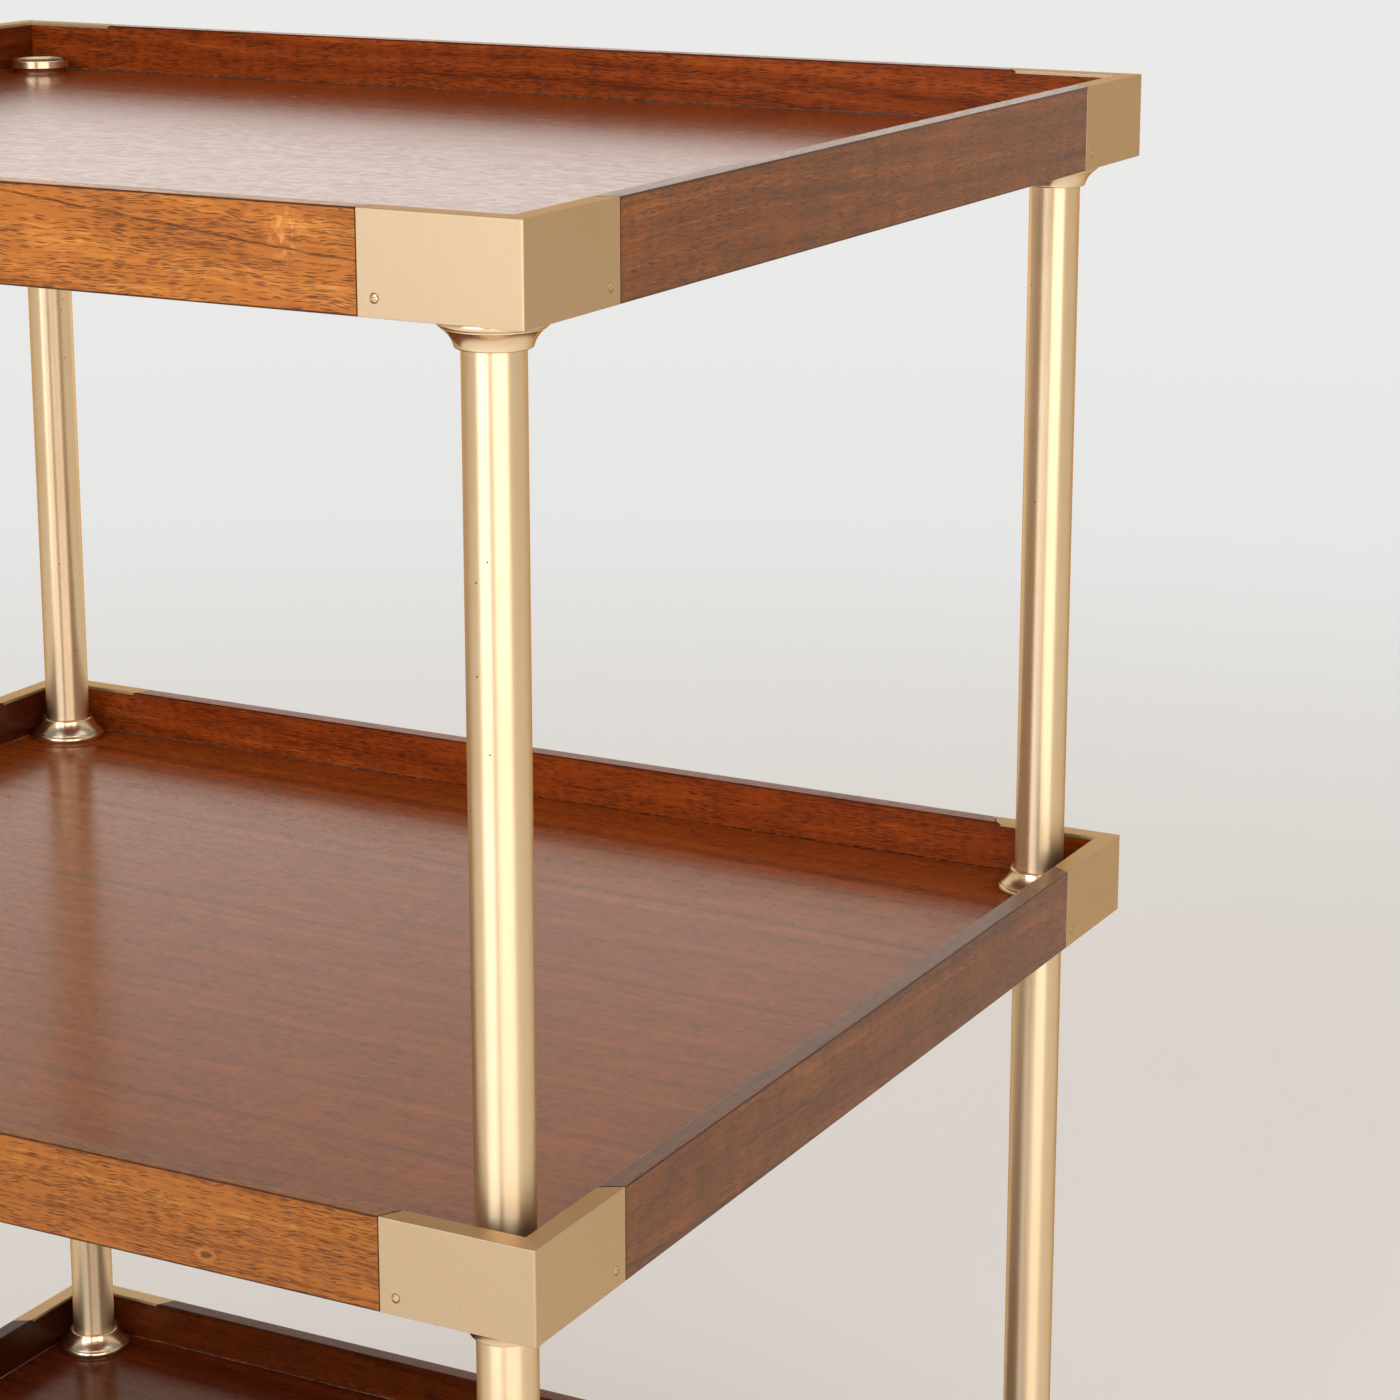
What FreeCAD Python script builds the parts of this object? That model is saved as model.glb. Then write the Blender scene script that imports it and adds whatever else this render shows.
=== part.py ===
import FreeCAD, Part
import math
import os

# A free-standing display shelf of three shallow wooden trays on four brass posts, in millimetres.
# Origin: on the floor, under the middle of the trays. +X along the long side, +Y to the back, +Z up.
# A steel tie rod runs down each corner, from the cap on the top tray to the socket at the foot, and pulls
# the trays, the collars and the tubes between them together.

# Driving dimensions
shelf_height = 960.0  # floor to the top tray's rim
tier_pitch = 400.0  # rim to rim
tier_names = ["top", "middle", "bottom"]

tray_length = 700.0
tray_depth = 610.0
tray_height = 41.0
rail_thickness = 10.0
panel_thickness = 15.0
tongue_thickness = 4.5
tongue_depth = 5.0
tongue_above_underside = 9.0  # above the bracket screws' points

bracket_leg = 72.0
bracket_gauge = 2.0
bracket_lip_curve = 7.6  # how far the lip's end sweeps back along the rim
bracket_corner_radius = 1.0
bracket_hairline = 0.25  # gap between the end of a leg and the wood

screw_from_leg_end = 7.5
screw_above_underside = 7.5
screw_head_diameter = 3.0
screw_head_height = 0.9
screw_shank_diameter = 1.5
screw_length = 8.8

post_diameter = 25.4
post_wall = 1.5
post_inset = 32.5  # post axis to the tray's outer faces
socket_clearance = 0.05

collar_height = 13.0
collar_web = 3.0  # floor of the collar, which the tube stands on

rod_diameter = 10.0
rod_hole_clearance = 0.5
thread_clearance = 0.05

cap_height = 7.2
cap_radius = 17.1
cap_spigot_diameter = 14.0
cap_spigot_length = 13.0
cap_bore_depth = 16.0

foot_underside = 21.0
foot_tube_seat = 32.0
foot_lip = 46.0
foot_boss_top = 57.0
foot_thread_change = 41.0  # the glide's thread ends and the rod's begins

glide_stem_diameter = 8.0
glide_stem_top = 30.0
glide_hex_across_flats = 13.0
glide_hex_top = 10.4
glide_pad_height = 6.0
glide_pad_radius = 14.0

# Worked out from those
half_length = tray_length / 2
half_depth = tray_depth / 2
post_x = half_length - post_inset
post_y = half_depth - post_inset
undersides = {
    name: shelf_height - tray_height - tier * tier_pitch for tier, name in enumerate(tier_names)
}
corners = {
    "front_right": (1, -1),
    "back_right": (1, 1),
    "back_left": (-1, 1),
    "front_left": (-1, -1),
}
rod_bottom = foot_thread_change + 1.0
rod_top = undersides["top"] + panel_thickness - cap_spigot_length + cap_bore_depth - 0.5


def vector(x, y, z):
    return FreeCAD.Vector(x, y, z)


def block(low, high):
    """A box from its lowest corner to its highest."""
    return Part.makeBox(high[0] - low[0], high[1] - low[1], high[2] - low[2], vector(*low))


def rod_at(x, y, low, high, radius):
    return Part.makeCylinder(radius, high - low, vector(x, y, low))


def edges_of(steps, place):
    """Edges along an outline: a step of two numbers is a straight run, a step of four is an arc by its middle."""
    edges = []
    here = place(*steps[0])
    for step in steps[1:] + steps[:1]:
        there = place(*step[-2:])
        if len(step) == 4:
            edges.append(Part.Arc(here, place(*step[:2]), there).toShape())
        elif here.distanceToPoint(there) > 1e-6:
            edges.append(Part.LineSegment(here, there).toShape())
        here = there
    return edges


def turned(steps):
    """A solid turned about the Z axis from an outline in (radius, height)."""
    wire = Part.Wire(edges_of(steps, lambda r, z: vector(r, 0, z)))
    return Part.Face(wire).revolve(vector(0, 0, 0), vector(0, 0, 1), 360)


def plate(steps, low, high):
    """A flat piece with an outline in (x, y), between two heights."""
    wire = Part.Wire(edges_of(steps, lambda x, y: vector(x, y, low)))
    return Part.Face(wire).extrude(vector(0, 0, high - low))


def moved(shape, x, y, z):
    copy = shape.copy()
    copy.translate(vector(x, y, z))
    return copy


def upside_down(shape):
    copy = shape.copy()
    copy.rotate(vector(0, 0, 0), vector(1, 0, 0), 180)
    return copy


def in_corner(shape, side_x, side_y):
    """A piece drawn for the +X +Y corner, mirrored into the corner asked for."""
    copy = shape.copy()
    if side_x < 0:
        copy = copy.mirror(vector(0, 0, 0), vector(1, 0, 0))
    if side_y < 0:
        copy = copy.mirror(vector(0, 0, 0), vector(0, 1, 0))
    return copy


def at_every_post(shape, low):
    """Four copies of a piece drawn on the Z axis, one on each post's axis."""
    copies = [moved(shape, side_x * post_x, side_y * post_y, low) for side_x, side_y in corners.values()]
    return Part.makeCompound(copies)


def bracket_blank(leg, low, high):
    """The solid that a corner bracket fills in the +X +Y corner: two legs, and the lip that caps the rim."""
    x = half_length
    y = half_depth
    gauge = bracket_gauge
    legs = plate(
        [(x, y), (x - leg, y), (x - leg, y - gauge), (x - gauge, y - gauge), (x - gauge, y - leg), (x, y - leg)],
        low,
        high,
    )
    # The lip's end is a quarter of an ellipse, from the outer edge of the leg's end back to the inner edge.
    rim = rail_thickness
    sweep = bracket_lip_curve
    lean = math.sqrt(0.5)
    mid_along = leg - sweep + sweep * lean
    mid_in = rim - rim * lean
    lip = plate(
        [
            (x, y),
            (x - leg, y),
            (x - mid_along, y - rim + mid_in, x - leg + sweep, y - rim),
            (x - rim, y - rim),
            (x - rim, y - leg + sweep),
            (x - rim + mid_in, y - mid_along, x, y - leg),
        ],
        high - gauge,
        high,
    )
    return legs.fuse(lip).removeSplitter()


def screw():
    """A countersunk slotted screw, drawn with its head's face at the origin and its point along +Z."""
    head = Part.makeCone(screw_head_diameter / 2, screw_shank_diameter / 2, screw_head_height)
    point = 1.2
    straight = screw_length - screw_head_height - point
    shank = Part.makeCylinder(screw_shank_diameter / 2, straight, vector(0, 0, screw_head_height))
    tip = Part.makeCone(screw_shank_diameter / 2, 0.15, point, vector(0, 0, screw_length - point))
    return head.fuse([shank, tip]).removeSplitter()


def screws_in_corner(low):
    """Two screws in the +X +Y corner: one into the end rail through the side leg, one into the back rail."""
    along = bracket_leg - screw_from_leg_end
    height = low + screw_above_underside
    into_side = screw()
    into_side.rotate(vector(0, 0, 0), vector(0, 1, 0), -90)
    into_side.translate(vector(half_length, half_depth - along, height))
    into_back = screw()
    into_back.rotate(vector(0, 0, 0), vector(1, 0, 0), 90)
    into_back.translate(vector(half_length - along, half_depth, height))
    return [into_side, into_back]


def bracket(side_x, side_y, low):
    shape = bracket_blank(bracket_leg, low, low + tray_height)
    corner = [
        edge
        for edge in shape.Edges
        if all(
            abs(v.X - half_length) < 1e-6 and abs(v.Y - half_depth) < 1e-6 for v in edge.Vertexes
        )
    ]
    shape = shape.makeFillet(bracket_corner_radius, corner)
    shape = shape.cut(screws_in_corner(low))
    return in_corner(shape, side_x, side_y)


def rail(side, low):
    """A mitred rim rail with a groove for the floor, let back at both ends for the brackets."""
    x = half_length
    y = half_depth
    deep = rail_thickness
    outlines = {
        "front": [(-x, -y), (x, -y), (x - deep, -y + deep), (-x + deep, -y + deep)],
        "back": [(-x, y), (x, y), (x - deep, y - deep), (-x + deep, y - deep)],
        "right": [(x, -y), (x, y), (x - deep, y - deep), (x - deep, -y + deep)],
        "left": [(-x, -y), (-x, y), (-x + deep, y - deep), (-x + deep, -y + deep)],
    }
    shape = plate(outlines[side], low, low + tray_height)
    cutters = [tongued_sheet(low)]
    for side_x, side_y in corners.values():
        blank = bracket_blank(bracket_leg + bracket_hairline, low - 1, low + tray_height)
        cutters.append(in_corner(blank, side_x, side_y))
        cutters += [in_corner(pin, side_x, side_y) for pin in screws_in_corner(low)]
    return shape.cut(cutters)


def tongued_sheet(low):
    """The floor's tongue layer, as wide as the grooves that take it."""
    x = half_length - rail_thickness + tongue_depth
    y = half_depth - rail_thickness + tongue_depth
    bottom = low + tongue_above_underside
    return block((-x, -y, bottom), (x, y, bottom + tongue_thickness))


def panel(low, hole_diameter):
    """A tray's floor, flush with the rim's underside, tongued into the rails and bored for the tie rods."""
    x = half_length - rail_thickness
    y = half_depth - rail_thickness
    shape = block((-x, -y, low), (x, y, low + panel_thickness))
    shape = shape.fuse(tongued_sheet(low)).removeSplitter()
    holes = [
        rod_at(side_x * post_x, side_y * post_y, low - 1, low + panel_thickness + 1, hole_diameter / 2)
        for side_x, side_y in corners.values()
    ]
    return shape.cut(holes)


def collar():
    """A turned collar standing on its base: a bead, a fine groove and a cavetto up to a lip round the tube."""
    rod_hole = (rod_diameter + rod_hole_clearance) / 2
    tube_hole = post_diameter / 2 + socket_clearance
    return turned(
        [
            (rod_hole, 0.0),
            (21.0, 0.0),
            (21.2, 0.9),
            (22.0, 2.7, 21.2, 4.4),
            (20.5, 4.6),
            (20.5, 5.1),
            (17.3, 8.1, 15.4, 11.9),
            (15.1, 12.7, 14.4, collar_height),
            (tube_hole, collar_height),
            (tube_hole, collar_web),
            (rod_hole, collar_web),
        ]
    )


def tube(side_x, side_y, low, high):
    outer = rod_at(side_x * post_x, side_y * post_y, low, high, post_diameter / 2)
    bore = rod_at(side_x * post_x, side_y * post_y, low - 1, high + 1, post_diameter / 2 - post_wall)
    return outer.cut(bore)


def tie_rod(side_x, side_y):
    return rod_at(side_x * post_x, side_y * post_y, rod_bottom, rod_top, rod_diameter / 2)


def cap_nut():
    """The cap over a post on the top tray, drawn with the tray floor at height 0: a dished disc that tapers
    down to the floor, and a threaded spigot that reaches down into the panel."""
    thread = rod_diameter / 2 + thread_clearance
    spigot = cap_spigot_diameter / 2
    ceiling = cap_bore_depth - cap_spigot_length
    return turned(
        [
            (thread, -cap_spigot_length),
            (spigot, -cap_spigot_length),
            (spigot, 0.0),
            (14.4, 0.0),
            (14.9, 1.5, 16.2, 2.7),
            (cap_radius, 3.1, cap_radius, 3.6),
            (cap_radius, cap_height - 0.5),
            (cap_radius - 0.2, cap_height - 0.1, cap_radius - 0.7, cap_height),
            (cap_radius - 1.6, cap_height),
            (cap_radius - 2.1, cap_height - 0.9, cap_radius - 3.6, cap_height - 1.4),
            (0.0, cap_height - 1.4),
            (0.0, ceiling),
            (thread, ceiling),
        ]
    )


def foot_socket():
    """The turned foot of a leg: a beaded ferrule that seats the tube, with a boss inside it. The tie rod
    screws into the boss from above and the levelling glide from below."""
    rod_thread = rod_diameter / 2 + thread_clearance
    glide_thread = glide_stem_diameter / 2 + thread_clearance
    tube_hole = post_diameter / 2 + socket_clearance
    boss = post_diameter / 2 - post_wall - 0.2
    return turned(
        [
            (glide_thread, foot_underside),
            (16.4, foot_underside),
            (18.0, foot_underside + 2.8, 16.6, foot_underside + 5.4),
            (15.8, foot_underside + 5.6),
            (15.8, foot_underside + 6.2),
            (15.2, foot_tube_seat + 4.0, 14.9, foot_lip - 1.2),
            (14.7, foot_lip - 0.3, 14.0, foot_lip),
            (tube_hole, foot_lip),
            (tube_hole, foot_tube_seat),
            (boss, foot_tube_seat),
            (boss, foot_boss_top - 1.0),
            (boss - 1.0, foot_boss_top),
            (rod_thread, foot_boss_top),
            (rod_thread, foot_thread_change),
            (glide_thread, foot_thread_change),
        ]
    )


def glide_stem():
    """The steel screw of a levelling glide: a foot disc held in the pad, a hexagon for a spanner, a thread."""
    radius = glide_stem_diameter / 2
    screw_part = turned(
        [
            (0.0, 2.5),
            (6.0, 2.5),
            (6.0, 4.0),
            (radius, 4.0),
            (radius, glide_stem_top - 0.8),
            (radius - 0.8, glide_stem_top),
            (0.0, glide_stem_top),
        ]
    )
    across_corners = glide_hex_across_flats / math.cos(math.radians(30)) / 2
    turns = [math.radians(60 * step) for step in range(6)]
    outline = [(across_corners * math.cos(turn), across_corners * math.sin(turn)) for turn in turns]
    hexagon = plate(outline, glide_pad_height, glide_hex_top)
    return screw_part.fuse(hexagon).removeSplitter()


def glide_pad(stem):
    disc = turned(
        [
            (0.0, 0.0),
            (glide_pad_radius - 1.0, 0.0),
            (glide_pad_radius - 0.3, 0.3, glide_pad_radius, 1.0),
            (glide_pad_radius, glide_pad_height - 1.6),
            (glide_pad_radius - 0.5, glide_pad_height - 0.5, glide_pad_radius - 1.6, glide_pad_height),
            (0.0, glide_pad_height),
        ]
    )
    return disc.cut(stem)


def trays():
    pieces = {}
    for name, low in undersides.items():
        through = cap_spigot_diameter + 0.2 if name == "top" else rod_diameter + 1.0
        pieces[f"{name}_tray_floor"] = panel(low, through)
        for side in ["front", "right", "back", "left"]:
            pieces[f"{name}_rail_{side}"] = rail(side, low)
        for corner, (side_x, side_y) in corners.items():
            pieces[f"{name}_bracket_{corner}"] = bracket(side_x, side_y, low)
    return pieces


def bracket_screws():
    solids = []
    for low in undersides.values():
        for side_x, side_y in corners.values():
            solids += [in_corner(pin, side_x, side_y) for pin in screws_in_corner(low)]
    return Part.makeCompound(solids)


def collars(name):
    """The collars of one tray: four under it, and four on its floor where a post stands there."""
    low = undersides[name]
    groups = [at_every_post(upside_down(collar()), low)]
    if name != "top":
        groups.append(at_every_post(collar(), low + panel_thickness))
    return Part.makeCompound([solid for group in groups for solid in group.Solids])


def posts():
    """The tubes between two trays and under the bottom one, each standing between two collar webs."""
    pieces = {}
    spans = {
        "upper_post": (undersides["middle"] + panel_thickness + collar_web, undersides["top"] - collar_web),
        "lower_post": (undersides["bottom"] + panel_thickness + collar_web, undersides["middle"] - collar_web),
        "leg": (foot_tube_seat, undersides["bottom"] - collar_web),
    }
    for name, (low, high) in spans.items():
        for corner, (side_x, side_y) in corners.items():
            pieces[f"{name}_{corner}"] = tube(side_x, side_y, low, high)
    return pieces


def fixings():
    pieces = {"bracket_screws": bracket_screws()}
    pieces["cap_nuts"] = at_every_post(cap_nut(), undersides["top"] + panel_thickness)
    pieces["foot_sockets"] = at_every_post(foot_socket(), 0.0)
    for name in tier_names:
        pieces[f"{name}_tray_collars"] = collars(name)
    for corner, (side_x, side_y) in corners.items():
        pieces[f"tie_rod_{corner}"] = tie_rod(side_x, side_y)
    return pieces


def glides():
    pieces = {}
    stem = glide_stem()
    pad = glide_pad(stem)
    for corner, (side_x, side_y) in corners.items():
        pieces[f"glide_stem_{corner}"] = moved(stem, side_x * post_x, side_y * post_y, 0.0)
        pieces[f"glide_pad_{corner}"] = moved(pad, side_x * post_x, side_y * post_y, 0.0)
    return pieces


os.makedirs("parts", exist_ok=True)
nodes = {**trays(), **posts(), **fixings(), **glides()}
for node, shape in nodes.items():
    sound = all(solid.isValid() and solid.isClosed() for solid in shape.Solids)
    if not (shape.Solids and sound):
        raise ValueError(f"{node} is not a sound solid")
    shape.exportStep(f"parts/{node}.step")
print(f"{len(nodes)} nodes")
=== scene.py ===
import math
import random
import bmesh
import bpy
from mathutils import Matrix, Vector


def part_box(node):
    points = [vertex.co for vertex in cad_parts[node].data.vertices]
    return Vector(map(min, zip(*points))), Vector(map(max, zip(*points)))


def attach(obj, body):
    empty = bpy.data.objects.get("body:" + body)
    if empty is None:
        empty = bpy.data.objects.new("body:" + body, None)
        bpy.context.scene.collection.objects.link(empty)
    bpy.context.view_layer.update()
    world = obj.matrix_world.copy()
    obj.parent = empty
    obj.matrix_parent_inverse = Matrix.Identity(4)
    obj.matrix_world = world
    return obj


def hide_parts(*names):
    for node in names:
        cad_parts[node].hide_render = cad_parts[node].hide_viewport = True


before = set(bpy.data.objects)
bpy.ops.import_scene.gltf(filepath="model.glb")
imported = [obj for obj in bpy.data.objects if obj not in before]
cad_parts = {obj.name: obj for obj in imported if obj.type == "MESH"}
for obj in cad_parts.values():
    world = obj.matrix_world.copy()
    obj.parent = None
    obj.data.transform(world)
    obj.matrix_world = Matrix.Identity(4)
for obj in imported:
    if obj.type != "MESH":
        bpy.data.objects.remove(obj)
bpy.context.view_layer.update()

# Tiered shelf: wooden trays with raised rims, brass corner brackets and turned brass posts.
# The dictionaries are in millimetres, the scene is in metres.
mm = 0.001
trays = ["top", "middle", "bottom"]
sides = ["front", "right", "back", "left"]
corners = {"front_right": (1, -1), "back_right": (1, 1), "back_left": (-1, 1), "front_left": (-1, -1)}
shades = random.Random(41)


def easedOutline(points):
    # each point is (across, up, ease); a corner with an ease gets a small rounded arris
    eased = []
    count = len(points)
    for index in range(count):
        here = Vector(points[index][:2])
        ease = points[index][2]
        back = Vector(points[index - 1][:2]) - here
        ahead = Vector(points[(index + 1) % count][:2]) - here
        if ease <= 0:
            eased.append(here)
            continue
        cut = min(ease, back.length * 0.45, ahead.length * 0.45)
        first = here + back.normalized() * cut
        last = here + ahead.normalized() * cut
        for step in range(5):
            t = step / 4
            eased.append(first * (1 - t) ** 2 + here * 2 * t * (1 - t) + last * t ** 2)
    return eased


def arcThrough(start, middle, end, parts):
    # the points after start on the arc that passes through all three
    ax, ay = start
    bx, by = middle
    cx, cy = end
    spread = 2 * (ax * (by - cy) + bx * (cy - ay) + cx * (ay - by))
    aa, bb, cc = ax * ax + ay * ay, bx * bx + by * by, cx * cx + cy * cy
    ux = (aa * (by - cy) + bb * (cy - ay) + cc * (ay - by)) / spread
    uy = (aa * (cx - bx) + bb * (ax - cx) + cc * (bx - ax)) / spread
    radius = math.hypot(ax - ux, ay - uy)
    a0 = math.atan2(ay - uy, ax - ux)
    a1 = math.atan2(by - uy, bx - ux)
    a2 = math.atan2(cy - uy, cx - ux)
    turn = (a2 - a0) % (2 * math.pi)
    if (a1 - a0) % (2 * math.pi) > turn:
        turn -= 2 * math.pi
    angles = [a0 + turn * k / parts for k in range(1, parts + 1)]
    return [(ux + radius * math.cos(a), uy + radius * math.sin(a)) for a in angles]


def turnedOutline(steps, ease=0.22):
    # steps are (radius, height), or (middle radius, middle height, radius, height) for an arc
    points = []
    for step in steps:
        if len(step) == 2:
            points.append((step[0], step[1], ease if step[0] > 0 else 0))
            continue
        arc = arcThrough(points[-1][:2], step[:2], step[2:], 9)
        points += [(r, z, 0) for r, z in arc]
    cleaned = []
    count = len(points)
    for index in range(count):
        r, z, grace = points[index]
        back = Vector(points[index - 1][:2]) - Vector((r, z))
        ahead = Vector(points[(index + 1) % count][:2]) - Vector((r, z))
        bend = 180 - math.degrees(back.angle(ahead, math.pi))
        cleaned.append((r, z, grace if bend > 24 else 0))
    return easedOutline(cleaned)


def finishMesh(name, work, sharpDegrees=32):
    bmesh.ops.remove_doubles(work, verts=work.verts, dist=2e-6)
    bmesh.ops.dissolve_degenerate(work, edges=work.edges, dist=1e-6)
    bmesh.ops.recalc_face_normals(work, faces=work.faces)
    if work.calc_volume(signed=True) < 0:
        bmesh.ops.reverse_faces(work, faces=work.faces)
    for face in work.faces:
        face.smooth = True
    mesh = bpy.data.meshes.new(name)
    work.to_mesh(mesh)
    work.free()
    mesh.set_sharp_from_angle(angle=math.radians(sharpDegrees))
    return levelNormals(mesh)


def levelNormals(mesh):
    # wide flat faces keep one even normal right up to their small arrises
    carrier = bpy.data.objects.new("level", mesh)
    bpy.context.scene.collection.objects.link(carrier)
    level = carrier.modifiers.new("level", "WEIGHTED_NORMAL")
    level.weight = 100
    level.keep_sharp = True
    bpy.context.view_layer.update()
    levelled = evaluatedMesh(carrier)
    bpy.data.objects.remove(carrier)
    return levelled


def newPiece(name, mesh, material=None):
    piece = bpy.data.objects.new(name, mesh)
    bpy.context.scene.collection.objects.link(piece)
    if material:
        mesh.materials.clear()
        mesh.materials.append(material)
    return piece


def joinRings(work, rings):
    # a band of faces from each ring to the next
    for low, high in zip(rings, rings[1:]):
        for k in range(len(low)):
            work.faces.new((low[k - 1], low[k], high[k], high[k - 1]))


def turnedMesh(name, outline, around=96, centre=(0, 0, 0)):
    # outline in millimetres, turned about the upright line through centre
    work = bmesh.new()
    rings = []
    for point in outline:
        ring = []
        for k in range(around):
            a = 2 * math.pi * k / around
            place = Vector((point[0] * math.cos(a), point[0] * math.sin(a), point[1])) * mm
            ring.append(work.verts.new(place + Vector(centre)))
        rings.append(ring)
    turning = work.loops.layers.uv.new("turning")
    run = 0.0
    for index in range(len(rings)):
        low = rings[index - 1]
        high = rings[index]
        step = (Vector(outline[index]) - Vector(outline[index - 1])).length * mm
        for k in range(around):
            face = work.faces.new((low[k - 1], low[k], high[k], high[k - 1]))
            spots = ((k - 1, run), (k, run), (k, run + step), (k - 1, run + step))
            for corner, (u, v) in zip(face.loops, spots):
                corner[turning].uv = (u / around, v)
        run += step
    return finishMesh(name, work)


def loftMesh(name, loops):
    # loops are equal lists of places; each joins the next and the two ends are closed
    work = bmesh.new()
    made = [[work.verts.new(place) for place in loop] for loop in loops]
    joinRings(work, made)
    work.faces.new(made[0])
    work.faces.new(list(reversed(made[-1])))
    return finishMesh(name, work)


def evaluatedMesh(piece):
    graph = bpy.context.evaluated_depsgraph_get()
    return bpy.data.meshes.new_from_object(piece.evaluated_get(graph), depsgraph=graph)


def cutAway(body, cutters):
    # the body's mesh with every cutter taken out of it; body and cutters go away
    for cutter in cutters:
        cut = body.modifiers.new("cut", "BOOLEAN")
        cut.object = cutter
        cut.operation = "DIFFERENCE"
        cut.solver = "EXACT"
    bpy.context.view_layer.update()
    result = evaluatedMesh(body)
    for piece in [body, *cutters]:
        bpy.data.objects.remove(piece)
    for polygon in result.polygons:
        polygon.use_smooth = True
    return result


def addNode(tree, kind, values=None, **settings):
    made = tree.nodes.new(kind)
    for key, value in settings.items():
        setattr(made, key, value)
    for key, value in (values or {}).items():
        made.inputs[key].default_value = value
    return made


def plug(tree, value, socket):
    if isinstance(value, bpy.types.NodeSocket):
        tree.links.new(value, socket)
    else:
        socket.default_value = value


def calc(tree, operation, a, b=0.0, c=0.0, clamp=False):
    made = addNode(tree, "ShaderNodeMath", operation=operation, use_clamp=clamp)
    for value, socket in zip((a, b, c), made.inputs):
        plug(tree, value, socket)
    return made.outputs[0]


def times(tree, a, b):
    return calc(tree, "MULTIPLY", a, b)


def sway(tree, value, amount, base):
    # base, moved by how far value is from its middle
    return calc(tree, "MULTIPLY_ADD", calc(tree, "SUBTRACT", value, 0.5), amount, base)


def vectorCalc(tree, operation, a, b=(0, 0, 0), out="Vector"):
    made = addNode(tree, "ShaderNodeVectorMath", operation=operation)
    plug(tree, a, made.inputs[0])
    plug(tree, b, made.inputs[1])
    return made.outputs[out]


def ramp(tree, value, low, high, start=0.0, end=1.0):
    made = addNode(tree, "ShaderNodeMapRange", interpolation_type="SMOOTHSTEP")
    for entry, socket in zip((value, low, high, start, end), made.inputs):
        plug(tree, entry, socket)
    return made.outputs[0]


def blendColour(tree, amount, first, second, how="MIX"):
    made = addNode(tree, "ShaderNodeMix", data_type="RGBA", blend_type=how, clamp_factor=True)
    plug(tree, amount, made.inputs[0])
    plug(tree, first, made.inputs[6])
    plug(tree, second, made.inputs[7])
    return made.outputs[2]


def noise(tree, vector, scale, detail=2.0, rough=0.5, warp=0.0):
    made = addNode(tree, "ShaderNodeTexNoise",
                   {"Scale": scale, "Detail": detail, "Roughness": rough, "Distortion": warp})
    plug(tree, vector, made.inputs["Vector"])
    return made.outputs["Fac"]


def streaks(tree, place, stretch, detail=2.0, rough=0.5):
    return noise(tree, vectorCalc(tree, "MULTIPLY", place, stretch), 1.0, detail, rough)


def splitVector(tree, vector):
    made = addNode(tree, "ShaderNodeSeparateXYZ")
    plug(tree, vector, made.inputs[0])
    return made.outputs


def cellNoise(tree, place, scale):
    # distance to the nearest cell's middle, and a chance from 0 to 1 that each cell keeps
    cells = addNode(tree, "ShaderNodeTexVoronoi", {"Scale": scale, "Randomness": 1.0})
    plug(tree, place, cells.inputs["Vector"])
    chance = addNode(tree, "ShaderNodeSeparateColor")
    plug(tree, cells.outputs["Color"], chance.inputs[0])
    return cells.outputs["Distance"], chance.outputs[0]


def newGroup(name, kind, inputs, outputs):
    tree = bpy.data.node_groups.new(name, kind)
    for label, socket, value in inputs:
        made = tree.interface.new_socket(label, in_out="INPUT", socket_type="NodeSocket" + socket)
        if value is not None:
            made.default_value = value
    for label, socket in outputs:
        tree.interface.new_socket(label, in_out="OUTPUT", socket_type="NodeSocket" + socket)
    return tree, tree.nodes.new("NodeGroupInput"), tree.nodes.new("NodeGroupOutput")


# stretch, detail and roughness of each noise in a board; the grain runs along the first number
grainNoise = {
    "slow": ((2.2, 9.0, 9.0), 2.0, 0.45),
    "waver": ((38.0, 60.0, 60.0), 2.0, 0.5),
    "patch": ((6.0, 30.0, 30.0), 1.0, 0.5),
    "fibre": ((30.0, 900.0, 900.0), 3.0, 0.6),
    "mottle": ((130.0, 420.0, 420.0), 2.0, 0.55),
    "crowd": ((26.0, 70.0, 70.0), 2.0, 0.6),
    "ripple": ((105.0, 26.0, 26.0), 2.0, 0.5),
    "flicker": ((420.0, 200.0, 300.0), 1.0, 0.5),
}
# length and width of the pores as counts to the metre, and how dark they are
poreKinds = [(125.0, 1750.0, 1.0), (95.0, 2700.0, 0.8)]


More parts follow.
